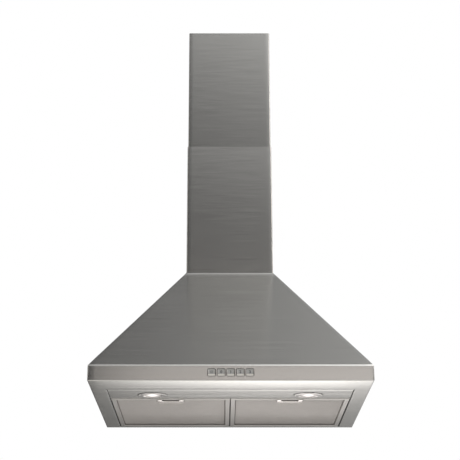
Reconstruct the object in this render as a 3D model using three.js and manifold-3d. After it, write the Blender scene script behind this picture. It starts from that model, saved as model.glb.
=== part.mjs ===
// A wall-mounted chimney range hood, 600 mm wide: a pyramid canopy of folded stainless
// sheet on a low band, five push-buttons, two round lamps, two mesh grease filters with
// spring latches, a centrifugal blower with a non-return flap, and a telescopic chimney.
// Millimetres, +Z up. The hood faces -Y and its back lies on the wall, in the plane Y = 0.
// Every piece is drawn with z = 0 at the underside of the rim. The finished group is then
// lowered, so that the origin is on the wall, midway between the two hanging keyholes.
import * as THREE from "three";
import { mergeVertices } from "three/addons/utils/BufferGeometryUtils.js";
import Module from "manifold-3d";

const wasm = await Module();
wasm.setup();

// ---------------------------------------------------------------- driving dimensions
const sheet = 1; // stainless sheet
const seat = 0.3; // gap between two pieces that bear on each other

const body = { width: 600, depth: 500, bandHeight: 35.3, canopyHeight: 333, hangHeight: 250 };
const fold = { bandTop: 3, bandBottom: 2, corner: 2.5, ledge: 6, hip: 2 };
const rim = { front: 87, side: 34, rear: 13.5, upturn: 8 };

const chimney = {
  width: 207, depth: 200, lowerHeight: 327, upperLength: 366, overlap: 50, slide: 0.5, rearReturn: 15,
};
const chimneySeat = { margin: 1.5, flange: 27, upstand: 12 };
const vent = { count: 5, width: 5, length: 64, pitch: 13, belowTop: 62 };

const back = { thickness: 1, neckWidth: 160, neckHeight: 60 };
const keyhole = { spacing: 220, headDiameter: 11, slotWidth: 6, slotRise: 12 };
const lowerFixing = { spacing: 300, height: 62, width: 5.5, length: 14 };

const lampPanel = { depth: 92.7, recess: 1.5, upturn: 12, sidePlay: 1.2 };
const lamp = { fromSide: 129.5, fromFront: 142, screwSpacing: 57, holeDiameter: 52 };
const bezel = {
  diameter: 66, drop: 2, lipDiameter: 47, glassDiameter: 41, spotFace: 0.8, rebate: 2.4, edge: 0.8,
};
const lampGlass = { thickness: 2.4, dome: 1.2, step: 1.6 };
const lampCup = {
  diameter: 50, flangeDiameter: 64, height: 42, wall: 1.2, neckDiameter: 24, neckLength: 10, shoulder: 8,
};
const bulb = { diameter: 12, length: 27, baseDiameter: 16, baseLength: 9, taper: 4 };
const lampScrew = { headDiameter: 5.6, headHeight: 1.2, diameter: 3, length: 9, hole: 3.9 };

const button = { width: 15.4, height: 14.6, corner: 2.2, pitch: 20, proud: 1.6, depth: 11, travel: 3 };
const buttonHole = { play: 0.8 };
const buttonStem = { side: 5, length: 9, play: 0.5 };
const buttonFace = { scoopRadius: 11, scoopDepth: 1.4, ridgeHeight: 3.6, chamfer: 1.1 };
const switchBlock = { width: 106, height: 26, depth: 27, guideDepth: 16 };

const filter = {
  thickness: 9, sidePlay: 2, frontPlay: 1, rearPlay: 1.5, centreGap: 2, bottom: 0.5, rail: 10, wall: 0.8,
  lip: 2.2,
};
const filterTab = { width: 22, reach: 7, thickness: 1, inset: 40 };
const net = { columns: 5, rows: 6, strand: 7, thickness: 1.6, border: 12, notchBorder: 4 };
const latchHousing = { width: 60, depth: 34, wall: 1 };
const latch = { noseWidth: 16, thickness: 1.4, proud: 3.5, travel: 5, play: 0.5, bridge: 6.5, neck: 1.5 };
const pull = { width: 57, front: 2, depth: 30, thickness: 1.2, leg: 9.5, bar: 13, lip: 1.6, corner: 1.5 };

const collar = { diameter: 149, wall: 2.5, height: 55, flangeDiameter: 172, flangeThickness: 2, lead: 6 };
const flap = { thickness: 1.2, play: 1, shelf: 6, shelfHeight: 14 };
const knuckle = { diameter: 8, length: 20, gap: 1.5 };
const flapPin = { diameter: 4, play: 0.4 };
const topPlate = { thickness: 1.2, margin: 5, hole: 138 };

const wheel = { diameter: 160, width: 112, blades: 24, ring: 2.4 };
const blade = { depth: 13, thickness: 1.2, margin: 0.6, lean: 2, sweep: 7.4 };
const hub = { diameter: 26, length: 22, disc: 2 };
const shaft = { diameter: 8, length: 44, play: 0.3 };
const scroll = { halfWidth: 66, wall: 1.2, tongueGap: 11, growth: 39, tongueAngle: 75, axisHeight: 165 };
const bellmouth = { diameter: 128, radius: 9 };
const motor = { diameter: 88, length: 66, start: 16, shoulder: 6, bearingDiameter: 30, boss: 4, slots: 8 };
const spider = { ringWidth: 8, thickness: 2, armWidth: 12, clampThickness: 2.5, clampLength: 9 };

const terminalBox = { width: 96, height: 62, depth: 40, wall: 2, lid: 2, x: 150, z: 96 };
const gland = { diameter: 16, hex: 21, hexLength: 6, length: 16, bore: 8 };
const capacitor = { diameter: 36, length: 62, x: -172, z: 92 };
const capacitorClip = { thickness: 1.2, width: 16, ear: 12 };
const lampDriver = { width: 70, height: 34, depth: 24, x: -150, z: 150 };

const bracket = {
  height: 24, thickness: 1.5, arm: 34, below: 22, padDiameter: 22, padSpacing: 90, hole: 5.5,
};
const sideScrew = { headDiameter: 6.4, headHeight: 1.5, diameter: 3.5, length: 9 };
const screwClearance = 0.35;

// ---------------------------------------------------------------- places that follow
const frontY = -body.depth;
const halfWidth = body.width / 2;
// The canopy and the band stop short of the back panel.
const rearGapY = -(back.thickness + seat);
const bay = { x: halfWidth - rim.side, front: frontY + rim.front, rear: -rim.rear };
const panelRear = bay.front + seat + lampPanel.depth;
const lampX = halfWidth - lamp.fromSide;
const lampY = frontY + lamp.fromFront;
const filterFront = panelRear + filter.frontPlay;
const filterRear = bay.rear - filter.rearPlay;
const filterWidth = bay.x - filter.sidePlay - filter.centreGap / 2;
const filterMid = (filter.centreGap + filterWidth) / 2;
const filterTop = filter.bottom + filter.thickness;
const chimneyMid = -chimney.depth / 2;
const lowerTop = body.canopyHeight + seat + chimney.lowerHeight;
const upperBottom = lowerTop - chimney.overlap;
const upperTop = upperBottom + chimney.upperLength;
const wheelRadius = wheel.diameter / 2;
const scrollEndRadius = wheelRadius + scroll.tongueGap + scroll.growth;
const tongueRadius = wheelRadius + scroll.tongueGap;
const tongueRadians = THREE.MathUtils.degToRad(scroll.tongueAngle);
// The outlet lies between the tongue and the end of the spiral, and is centred under the chimney.
const axisY = chimneyMid - (scrollEndRadius + tongueRadius * Math.cos(tongueRadians)) / 2;

// ---------------------------------------------------------------- solids
function closed(vertices, triangles) {
  return new wasm.Manifold(
    new wasm.Mesh({ numProp: 3, vertProperties: vertices, triVerts: Uint32Array.from(triangles) }),
  );
}

// Joins the corners of a three.js geometry into a solid, whichever way round its faces are wound.
function solid(geometry) {
  const bare = geometry.clone();
  for (const name of Object.keys(bare.attributes)) if (name !== "position") bare.deleteAttribute(name);
  const merged = mergeVertices(bare, 1e-4);
  const vertices = merged.attributes.position.array;
  const index = merged.index.array;
  const kept = [];
  for (let i = 0; i < index.length; i += 3) {
    const [a, b, c] = [index[i], index[i + 1], index[i + 2]];
    if (a !== b && b !== c && a !== c) kept.push(a, b, c);
  }
  const made = closed(vertices, kept);
  return made.volume() > 0 ? made : closed(vertices, kept.reverse());
}

function geometryOf(manifold) {
  const mesh = manifold.getMesh();
  const geometry = new THREE.BufferGeometry();
  geometry.setAttribute("position", new THREE.BufferAttribute(Float32Array.from(mesh.vertProperties), 3));
  geometry.setIndex(new THREE.BufferAttribute(Uint32Array.from(mesh.triVerts), 1));
  return geometry;
}

const union = (...solids) => solids.reduce((whole, next) => whole.add(next));
const cut = (from, ...tools) => tools.reduce((rest, tool) => rest.subtract(tool), from);

function box(x0, x1, y0, y1, z0, z1) {
  const block = new THREE.BoxGeometry(x1 - x0, y1 - y0, z1 - z0);
  return solid(block.translate((x0 + x1) / 2, (y0 + y1) / 2, (z0 + z1) / 2));
}

// An outline is a list of [u, v]; a prism stands on it along one axis, between two stations.
function extrude(outline, length, holes = []) {
  const shape = new THREE.Shape(outline.map(([u, v]) => new THREE.Vector2(u, v)));
  for (const hole of holes) shape.holes.push(new THREE.Path(hole.map(([u, v]) => new THREE.Vector2(u, v))));
  return new THREE.ExtrudeGeometry(shape, { depth: length, bevelEnabled: false });
}
const alongZ = (outline, z0, z1, holes) => solid(extrude(outline, z1 - z0, holes).translate(0, 0, z0));
const alongY = (outline, y0, y1, holes) =>
  solid(extrude(outline, y1 - y0, holes).rotateX(Math.PI / 2).translate(0, y1, 0));
const xFromZ = new THREE.Matrix4().makeBasis(
  new THREE.Vector3(0, 1, 0), new THREE.Vector3(0, 0, 1), new THREE.Vector3(1, 0, 0),
);
const alongX = (outline, x0, x1, holes) =>
  solid(extrude(outline, x1 - x0, holes).applyMatrix4(xFromZ).translate(x0, 0, 0));

function circle(u, v, radius, sides = 24) {
  return Array.from({ length: sides }, (_, i) => {
    const angle = (2 * Math.PI * i) / sides;
    return [u + radius * Math.cos(angle), v + radius * Math.sin(angle)];
  });
}

// A rectangle from (u0, v0) to (u1, v1), counter-clockwise, with round corners of `steps` chords.
function roundRectangle(u0, u1, v0, v1, radius, steps = 3) {
  const corners = [[u1, v0, -90], [u1, v1, 0], [u0, v1, 90], [u0, v0, 180]];
  const inward = [[-1, 1], [-1, -1], [1, -1], [1, 1]];
  return corners.flatMap(([u, v, start], k) =>
    Array.from({ length: steps + 1 }, (_, i) => {
      const angle = THREE.MathUtils.degToRad(start + (90 * i) / steps);
      const [su, sv] = inward[k];
      return [u + su * radius + radius * Math.cos(angle), v + sv * radius + radius * Math.sin(angle)];
    }),
  );
}

function turned(profile, sides = 28) {
  return solid(new THREE.LatheGeometry(profile.map(([r, z]) => new THREE.Vector2(r, z)), sides));
}
// A profile of [radius, z] turned about the upright axis through (x, y); three.js turns about Y.
const turnedAt = (profile, x, y, sides) => turned(profile, sides).rotate([90, 0, 0]).translate([x, y, 0]);
// The same about the blower's axis, which lies along X: a profile of [radius, x].
const turnedAlongX = (profile, sides) =>
  turned(profile, sides).rotate([0, 0, -90]).translate([0, axisY, scroll.axisHeight]);

// A shell through closed rings of points, each joined to the next and the last to the first.
function loft(rings) {
  const count = rings[0].length;
  const index = [];
  rings.forEach((_, k) => {
    const here = k * count;
    const next = ((k + 1) % rings.length) * count;
    for (let i = 0; i < count; i++) {
      const j = (i + 1) % count;
      index.push(here + i, here + j, next + j, here + i, next + j, next + i);
    }
  });
  const geometry = new THREE.BufferGeometry();
  geometry.setAttribute("position", new THREE.Float32BufferAttribute(rings.flat(2), 3));
  geometry.setIndex(index);
  return solid(geometry);
}

// A ring of the plan x0..x1, y0..y1 at height z; an inset moves all four sides in by the same amount.
const planRing = ({ x0, x1, y0, y1 }, z, inset, radius) =>
  roundRectangle(x0 + inset, x1 - inset, y0 + inset, y1 - inset, Math.max(radius - inset, 0.4)).map(
    ([x, y]) => [x, y, z],
  );

// A folded section, as [inset, z] points, carried round a plan with rounded corners.
const foldedAround = (plan, section, radius) =>
  loft(section.map(([inset, z]) => planRing(plan, z, inset, radius)));

const beyondWall = 40; // closed rings run this far past the wall plane before they are cut open
const openRear = (shell, y) => cut(shell, box(-halfWidth * 2, halfWidth * 2, y, beyondWall * 2, -50, 1400));

// ---------------------------------------------------------------- finishes
const finish = {
  brushedSteel: new THREE.MeshStandardMaterial({ color: "#8f8d88", roughness: 0.34, metalness: 1 }),
  chimneySteel: new THREE.MeshStandardMaterial({ color: "#85847f", roughness: 0.36, metalness: 1 }),
  galvanised: new THREE.MeshStandardMaterial({ color: "#a3a6a6", roughness: 0.5, metalness: 1 }),
  aluminium: new THREE.MeshStandardMaterial({ color: "#b9b7b3", roughness: 0.42, metalness: 1 }),
  filterMesh: new THREE.MeshStandardMaterial({ color: "#9b9793", roughness: 0.5, metalness: 1 }),
  chrome: new THREE.MeshStandardMaterial({ color: "#c8c8c8", roughness: 0.12, metalness: 1 }),
  glass: new THREE.MeshStandardMaterial({ color: "#f6f4ee", roughness: 0.2, metalness: 0 }),
  buttonPlastic: new THREE.MeshStandardMaterial({ color: "#9c9b97", roughness: 0.35, metalness: 0.4 }),
  darkPlastic: new THREE.MeshStandardMaterial({ color: "#26272a", roughness: 0.6, metalness: 0 }),
  greyPlastic: new THREE.MeshStandardMaterial({ color: "#5b5e61", roughness: 0.6, metalness: 0 }),
  motorSteel: new THREE.MeshStandardMaterial({ color: "#7c7f82", roughness: 0.45, metalness: 1 }),
  screwSteel: new THREE.MeshStandardMaterial({ color: "#b4b4b2", roughness: 0.3, metalness: 1 }),
};

const hood = new THREE.Group();
hood.position.z = -body.hangHeight;

function add(name, made, material) {
  const mesh = new THREE.Mesh(geometryOf(made), material);
  mesh.name = name;
  hood.add(mesh);
}

// ---------------------------------------------------------------- band and rim
// One folded frame: an inward ledge under the pyramid, the band itself and the wide rim below.
function foldedSection(height, ledge, foot, topRadius, bottomRadius, thickness) {
  const arc = (inset, z, radius, from, to) =>
    [0, 1, 2].map((i) => {
      const angle = THREE.MathUtils.degToRad(from + ((to - from) * i) / 2);
      return [inset - radius * Math.cos(angle), z + radius * Math.sin(angle)];
    });
  return [
    [ledge, height],
    ...arc(topRadius, height - topRadius, topRadius, 90, 0),
    ...arc(bottomRadius, bottomRadius, bottomRadius, 0, -90),
    [foot, 0],
    [foot, thickness],
    ...arc(bottomRadius, bottomRadius, bottomRadius - thickness, -90, 0),
    ...arc(topRadius, height - topRadius, topRadius - thickness, 0, 90),
    [ledge, height - thickness],
  ];
}

function buttonX(i) {
  return (i - 2) * button.pitch;
}
const bandMid = body.bandHeight / 2;

function makeBand() {
  const plan = { x0: -halfWidth, x1: halfWidth, y0: frontY, y1: beyondWall };
  const foot = rim.side / 2;
  const section = foldedSection(body.bandHeight, fold.ledge, foot, fold.bandTop, fold.bandBottom, sheet);
  const wall = openRear(foldedAround(plan, section, fold.corner), rearGapY);
  const inset = foot / 2;
  const bayOutline = [[-bay.x, bay.front], [bay.x, bay.front], [bay.x, bay.rear], [-bay.x, bay.rear]];
  const grown = bayOutline.map(([x, y]) => [x + Math.sign(x) * sheet, y === bay.front ? y - sheet : y]);
  const rimPlate = alongZ(
    [
      [-halfWidth + inset, frontY + inset], [halfWidth - inset, frontY + inset],
      [halfWidth - inset, rearGapY], [-halfWidth + inset, rearGapY],
    ],
    0, sheet, [bayOutline],
  );
  const upturn = cut(
    alongZ(grown, 0, rim.upturn, []),
    alongZ([[-bay.x, bay.front], [bay.x, bay.front], [bay.x, 0], [-bay.x, 0]], -1, rim.upturn + 1),
  );
  let band = union(wall, rimPlate, upturn);
  for (let i = 0; i < 5; i++) {
    const halfW = button.width / 2 + buttonHole.play;
    const halfH = button.height / 2 + buttonHole.play;
    const x = buttonX(i);
    const corner = button.corner + buttonHole.play;
    const opening = roundRectangle(x - halfW, x + halfW, bandMid - halfH, bandMid + halfH, corner, 2);
    band = cut(band, alongY(opening, frontY - 2, frontY + sheet + 2));
  }
  add("apron_band", band, finish.brushedSteel);
}

// ---------------------------------------------------------------- pyramid canopy
// Front and side slopes are one folded sheet. Its top turns in to a flange that carries the
// chimney, and a low upstand inside the chimney keeps it in place.
const canopyTop = {
  x: chimney.width / 2 + chimneySeat.margin,
  front: -(chimney.depth + chimneySeat.margin),
};

function makeCanopy() {
  const baseX = halfWidth - fold.bandTop;
  const base = { x0: -baseX, x1: baseX, y0: frontY + fold.bandTop, y1: beyondWall };
  const top = { x0: -canopyTop.x, x1: canopyTop.x, y0: canopyTop.front, y1: beyondWall };
  const baseZ = body.bandHeight + seat;
  const rise = body.canopyHeight - baseZ;
  const sideInset = (sheet * Math.hypot(base.x1 - top.x1, rise)) / rise;
  const frontInset = (sheet * Math.hypot(top.y0 - base.y0, rise)) / rise;
  const narrowed = (plan) => ({
    x0: plan.x0 + sideInset, x1: plan.x1 - sideInset, y0: plan.y0 + frontInset, y1: plan.y1,
  });
  const topZ = body.canopyHeight;
  const drop = sheet / rise; // the inner skin meets the underside of the flange a little lower
  const innerTop = narrowed(top);
  const innerBase = narrowed(base);
  const mix = (a, b) => a + (b - a) * drop;
  const underFlange = {
    x0: mix(innerTop.x0, innerBase.x0), x1: mix(innerTop.x1, innerBase.x1),
    y0: mix(innerTop.y0, innerBase.y0), y1: beyondWall,
  };
  const shell = openRear(
    loft([
      planRing(base, baseZ, 0, fold.hip),
      planRing(top, topZ, 0, fold.hip),
      planRing(top, topZ, chimneySeat.flange, fold.hip),
      planRing(top, topZ - sheet, chimneySeat.flange, fold.hip),
      planRing(underFlange, topZ - sheet, 0, fold.hip),
      planRing(innerBase, baseZ, 0, fold.hip),
    ]),
    rearGapY,
  );
  const rearLedge = box(
    -canopyTop.x + chimneySeat.flange / 2, canopyTop.x - chimneySeat.flange / 2,
    -chimneySeat.flange, rearGapY, topZ - sheet, topZ,
  );
  const inside = chimney.width / 2 - sheet - chimney.slide / 2 - seat / 2;
  const upstandPlan = { x0: -inside, x1: inside, y0: -chimney.depth + sheet + seat, y1: beyondWall };
  const upstandTop = topZ + chimneySeat.upstand;
  const upstandSection = [[0, topZ - sheet], [0, upstandTop], [sheet, upstandTop], [sheet, topZ - sheet]];
  const upstand = openRear(foldedAround(upstandPlan, upstandSection, fold.hip), -chimney.rearReturn);
  add("canopy_shell", union(shell, rearLedge, upstand), finish.brushedSteel);
}

// ---------------------------------------------------------------- back panel
function makeBackPanel() {
  const topX = canopyTop.x;
  const outline = [
    [-halfWidth, sheet], [halfWidth, sheet], [halfWidth, body.bandHeight],
    [halfWidth - fold.bandTop, body.bandHeight + seat], [topX, body.canopyHeight],
    [back.neckWidth / 2, body.canopyHeight], [back.neckWidth / 2, body.canopyHeight + back.neckHeight],
    [-back.neckWidth / 2, body.canopyHeight + back.neckHeight], [-back.neckWidth / 2, body.canopyHeight],
    [-topX, body.canopyHeight], [-halfWidth + fold.bandTop, body.bandHeight + seat],
    [-halfWidth, body.bandHeight],
  ];
  let panel = alongY(outline, -back.thickness, 0);
  for (const side of [-1, 1]) {
    const x = (side * keyhole.spacing) / 2;
    const z = body.hangHeight;
    const slot = keyhole.slotWidth / 2;
    const lower = (side * lowerFixing.spacing) / 2;
    panel = cut(
      panel,
      alongY(circle(x, z, keyhole.headDiameter / 2, 20), -5, 5),
      alongY(roundRectangle(x - slot, x + slot, z, z + keyhole.slotRise, slot - 0.01, 4), -5, 5),
      alongY(
        roundRectangle(
          lower - lowerFixing.length / 2, lower + lowerFixing.length / 2,
          lowerFixing.height - lowerFixing.width / 2, lowerFixing.height + lowerFixing.width / 2,
          lowerFixing.width / 2 - 0.01, 4,
        ),
        -5, 5,
      ),
    );
  }
  add("back_panel", panel, finish.galvanised);
}

// ---------------------------------------------------------------- lamp panel and lamps
const panelZ = lampPanel.recess; // underside of the lamp panel

function makeLampPanel() {
  const half = bay.x - lampPanel.sidePlay;
  const front = bay.front + seat;
  const plate = box(-half, half, front, panelRear, panelZ, panelZ + sheet);
  const rearUpturn = box(-half, half, panelRear - sheet, panelRear, panelZ, panelZ + lampPanel.upturn);
  const frontUpturn = box(-half, half, front, front + sheet, panelZ, panelZ + rim.upturn);
  let panel = union(plate, rearUpturn, frontUpturn);
  for (const side of [-1, 1]) {
    panel = cut(panel, nosePassage(side * filterMid, panelRear - sheet - 1, panelRear + 1));
    const x = side * lampX;
    panel = cut(panel, alongZ(circle(x, lampY, lamp.holeDiameter / 2, 24), panelZ - 5, panelZ + 5));
    for (const end of [-1, 1]) {
      const screwX = x + (end * lamp.screwSpacing) / 2;
      panel = cut(panel, alongZ(circle(screwX, lampY, lampScrew.hole / 2, 10), panelZ - 5, panelZ + 5));
    }
  }
  add("lamp_panel", panel, finish.brushedSteel);
}

function makeLamp(side, name) {
  const x = side * lampX;
  const topZ = panelZ - seat;
  const screwXs = [-1, 1].map((end) => x + (end * lamp.screwSpacing) / 2);
  const glassR = bezel.glassDiameter / 2;
  const lipR = bezel.lipDiameter / 2;
  const outerR = bezel.diameter / 2;
  const lowZ = topZ - bezel.drop;

  // Pressed ring: it swells down to a lip, then dishes up to the rebate that holds the glass.
  let ring = turnedAt(
    [
      [outerR, topZ], [outerR - bezel.edge, topZ - bezel.edge], [lipR + 2.5, lowZ + 0.1], [lipR, lowZ],
      [glassR - 1.2, topZ - 0.5], [glassR - 1.2, topZ], [glassR + seat, topZ],
      [glassR + seat, topZ + bezel.rebate], [glassR + 2, topZ + bezel.rebate], [glassR + 2, topZ],
      [outerR, topZ],
    ],
    x, lampY, 20,
  );
  // Each screw has a hole, and a flat spot for its head at both tips of the ring.
  const spotZ = topZ - bezel.spotFace;
  for (const screwX of screwXs) {
    ring = cut(
      ring,
      alongZ(circle(screwX, lampY, lampScrew.hole / 2, 10), topZ - 6, topZ + 6),
      alongZ(circle(screwX, lampY, lampScrew.headDiameter / 2 + seat, 12), topZ - 6, spotZ),
    );
  }
  add(`lamp_bezel_${name}`, ring, finish.chrome);

  // Frosted glass disc, slightly domed downwards through the ring.
  const glassTop = topZ + seat + lampGlass.thickness;
  const glass = turnedAt(
    [
      [0, glassTop], [glassR, glassTop], [glassR, topZ + seat], [glassR - lampGlass.step, topZ + seat],
      [glassR - 2, topZ - 0.1], [glassR * 0.6, topZ - lampGlass.dome * 0.8], [0, topZ - lampGlass.dome],
    ],
    x, lampY, 20,
  );
  add(`lamp_glass_${name}`, glass, finish.glass);

  // Steel cup that shields the bulb: a flange on the panel, a drawn body and a neck for the lampholder.
  const cupBottom = panelZ + sheet + seat;
  const cupTop = cupBottom + lampCup.height;
  const cupR = lampCup.diameter / 2;
  const neckR = lampCup.neckDiameter / 2;
  const flangeR = lampCup.flangeDiameter / 2;
  const w = lampCup.wall;
  const slope = lampCup.shoulder;
  const neckTop = cupTop + lampCup.neckLength;
  let cup = turnedAt(
    [
      [cupR, cupBottom], [flangeR, cupBottom], [flangeR, cupBottom + w], [cupR + w, cupBottom + w],
      [cupR + w, cupTop - slope], [cupR + w - slope, cupTop], [neckR + w, cupTop], [neckR + w, neckTop],
      [neckR, neckTop], [neckR, cupTop - w], [cupR + w / 2 - slope, cupTop - w],
      [cupR, cupTop - slope - w / 2], [cupR, cupBottom],
    ],
    x, lampY, 16,
  );
  for (const screwX of screwXs)
    cup = cut(cup, alongZ(circle(screwX, lampY, lampScrew.hole / 2, 10), cupBottom - 3, cupBottom + 3));
  add(`lamp_cup_${name}`, cup, finish.galvanised);

  // Capsule bulb on its ceramic base, which the neck of the cup grips.
  const baseBottom = neckTop - bulb.baseLength - bulb.taper;
  const baseR = neckR - seat;
  const bulbR = bulb.diameter / 2;
  const glassEnd = baseBottom - bulb.length;
  add(
    `lamp_bulb_${name}`,
    turnedAt(
      [
        [0, neckTop], [baseR, neckTop], [baseR, baseBottom + bulb.taper],
        [bulb.baseDiameter / 2, baseBottom], [bulbR, baseBottom], [bulbR, glassEnd + 5],
        [bulbR * 0.7, glassEnd + 1.6], [0, glassEnd],
      ],
      x, lampY, 16,
    ),
    finish.glass,
  );

  // Pan-head screws hold ring, panel and cup together.
  screwXs.forEach((screwX, i) => {
    const headTop = spotZ - seat;
    const r = lampScrew.diameter / 2;
    const headR = lampScrew.headDiameter / 2;
    const screw = turnedAt(
      [
        [0, headTop - lampScrew.headHeight], [headR * 0.75, headTop - lampScrew.headHeight],
        [headR, headTop - 0.4], [headR, headTop], [r, headTop], [r, headTop + lampScrew.length],
        [0, headTop + lampScrew.length],
      ],
      screwX, lampY, 12,
    );
    add(`lamp_screw_${name}_${i + 1}`, screw, finish.screwSteel);
  });
}

// ---------------------------------------------------------------- push-buttons
const buttonNames = ["light", "stop", "speed_1", "speed_2", "speed_3"];

function makeButtons() {
  const frontFace = frontY - button.proud;
  const backFace = frontFace + button.depth;
  const guideFront = frontY + sheet + seat;
  const guideFloor = guideFront + switchBlock.guideDepth;
  const blockRear = guideFront + switchBlock.depth;
  const blockHalf = switchBlock.width / 2;
  const blockZ = switchBlock.height / 2;
  let block = alongY(
    roundRectangle(-blockHalf, blockHalf, bandMid - blockZ, bandMid + blockZ, 2, 2), guideFront, blockRear,
  );
  const stemHalf = buttonStem.side / 2;
  buttonNames.forEach((name, i) => {
    const x = buttonX(i);
    const [halfW, halfH] = [button.width / 2, button.height / 2];
    const guide = [halfW + buttonStem.play, halfH + buttonStem.play];
    block = cut(
      block,
      alongY(
        roundRectangle(x - guide[0], x + guide[0], bandMid - guide[1], bandMid + guide[1], button.corner, 2),
        guideFront - 5, guideFloor,
      ),
      box(
        x - stemHalf - buttonStem.play, x + stemHalf + buttonStem.play,
        guideFloor - 1, backFace + buttonStem.length + button.travel + 1,
        bandMid - stemHalf - buttonStem.play, bandMid + stemHalf + buttonStem.play,
      ),
    );
    // The cap is a rounded square; a finger scoop is cut into its face above a ridge along the bottom.
    const cap = alongY(
      roundRectangle(x - halfW, x + halfW, bandMid - halfH, bandMid + halfH, button.corner, 3),
      frontFace, backFace,
    );
    const scoopZ = bandMid + buttonFace.ridgeHeight / 2;
    const scoop = alongX(
      circle(frontFace - buttonFace.scoopRadius + buttonFace.scoopDepth, scoopZ, buttonFace.scoopRadius, 36),
      x - halfW + buttonFace.chamfer, x + halfW - buttonFace.chamfer,
    );
    const foot = bandMid - halfH;
    const underCut = alongX(
      [
        [frontFace - 1, foot - 1], [frontFace - 1, foot + buttonFace.ridgeHeight / 2 + 0.6],
        [frontFace + buttonFace.chamfer, foot - 1],
      ],
      x - halfW - 1, x + halfW + 1,
    );
    const stemEnd = backFace + buttonStem.length;
    const stem = box(
      x - stemHalf, x + stemHalf, backFace - 1, stemEnd, bandMid - stemHalf, bandMid + stemHalf,
    );
    add(`button_${name}`, union(cut(cap, scoop, underCut), stem), finish.buttonPlastic);
  });
  add("switch_block", block, finish.darkPlastic);
}

// ---------------------------------------------------------------- grease filters
// An aluminium channel frame, mitred round a pack of expanded mesh; two rear tabs hook over the
// rim and a sprung latch with a finger pull holds the front edge.
function filterPlan(side) {
  const inner = filter.centreGap / 2;
  const outer = inner + filterWidth;
  return side < 0
    ? { x0: -outer, x1: -inner, y0: filterFront, y1: filterRear }
    : { x0: inner, x1: outer, y0: filterFront, y1: filterRear };
}

const packZ0 = filter.bottom + filter.lip + seat;
const packZ1 = filterTop - filter.wall - seat;
const housingTop = packZ1 - seat / 2;
const noseZ1 = housingTop - latchHousing.wall - latch.play;
const noseZ0 = noseZ1 - latch.thickness;

// The passage that a latch nose needs through whatever stands between y0 and y1.
const nosePassage = (midX, y0, y1) =>
  box(
    midX - latch.noseWidth / 2 - latch.play, midX + latch.noseWidth / 2 + latch.play, y0, y1,
    noseZ0 - latch.play, noseZ1 + latch.play,
  );

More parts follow.
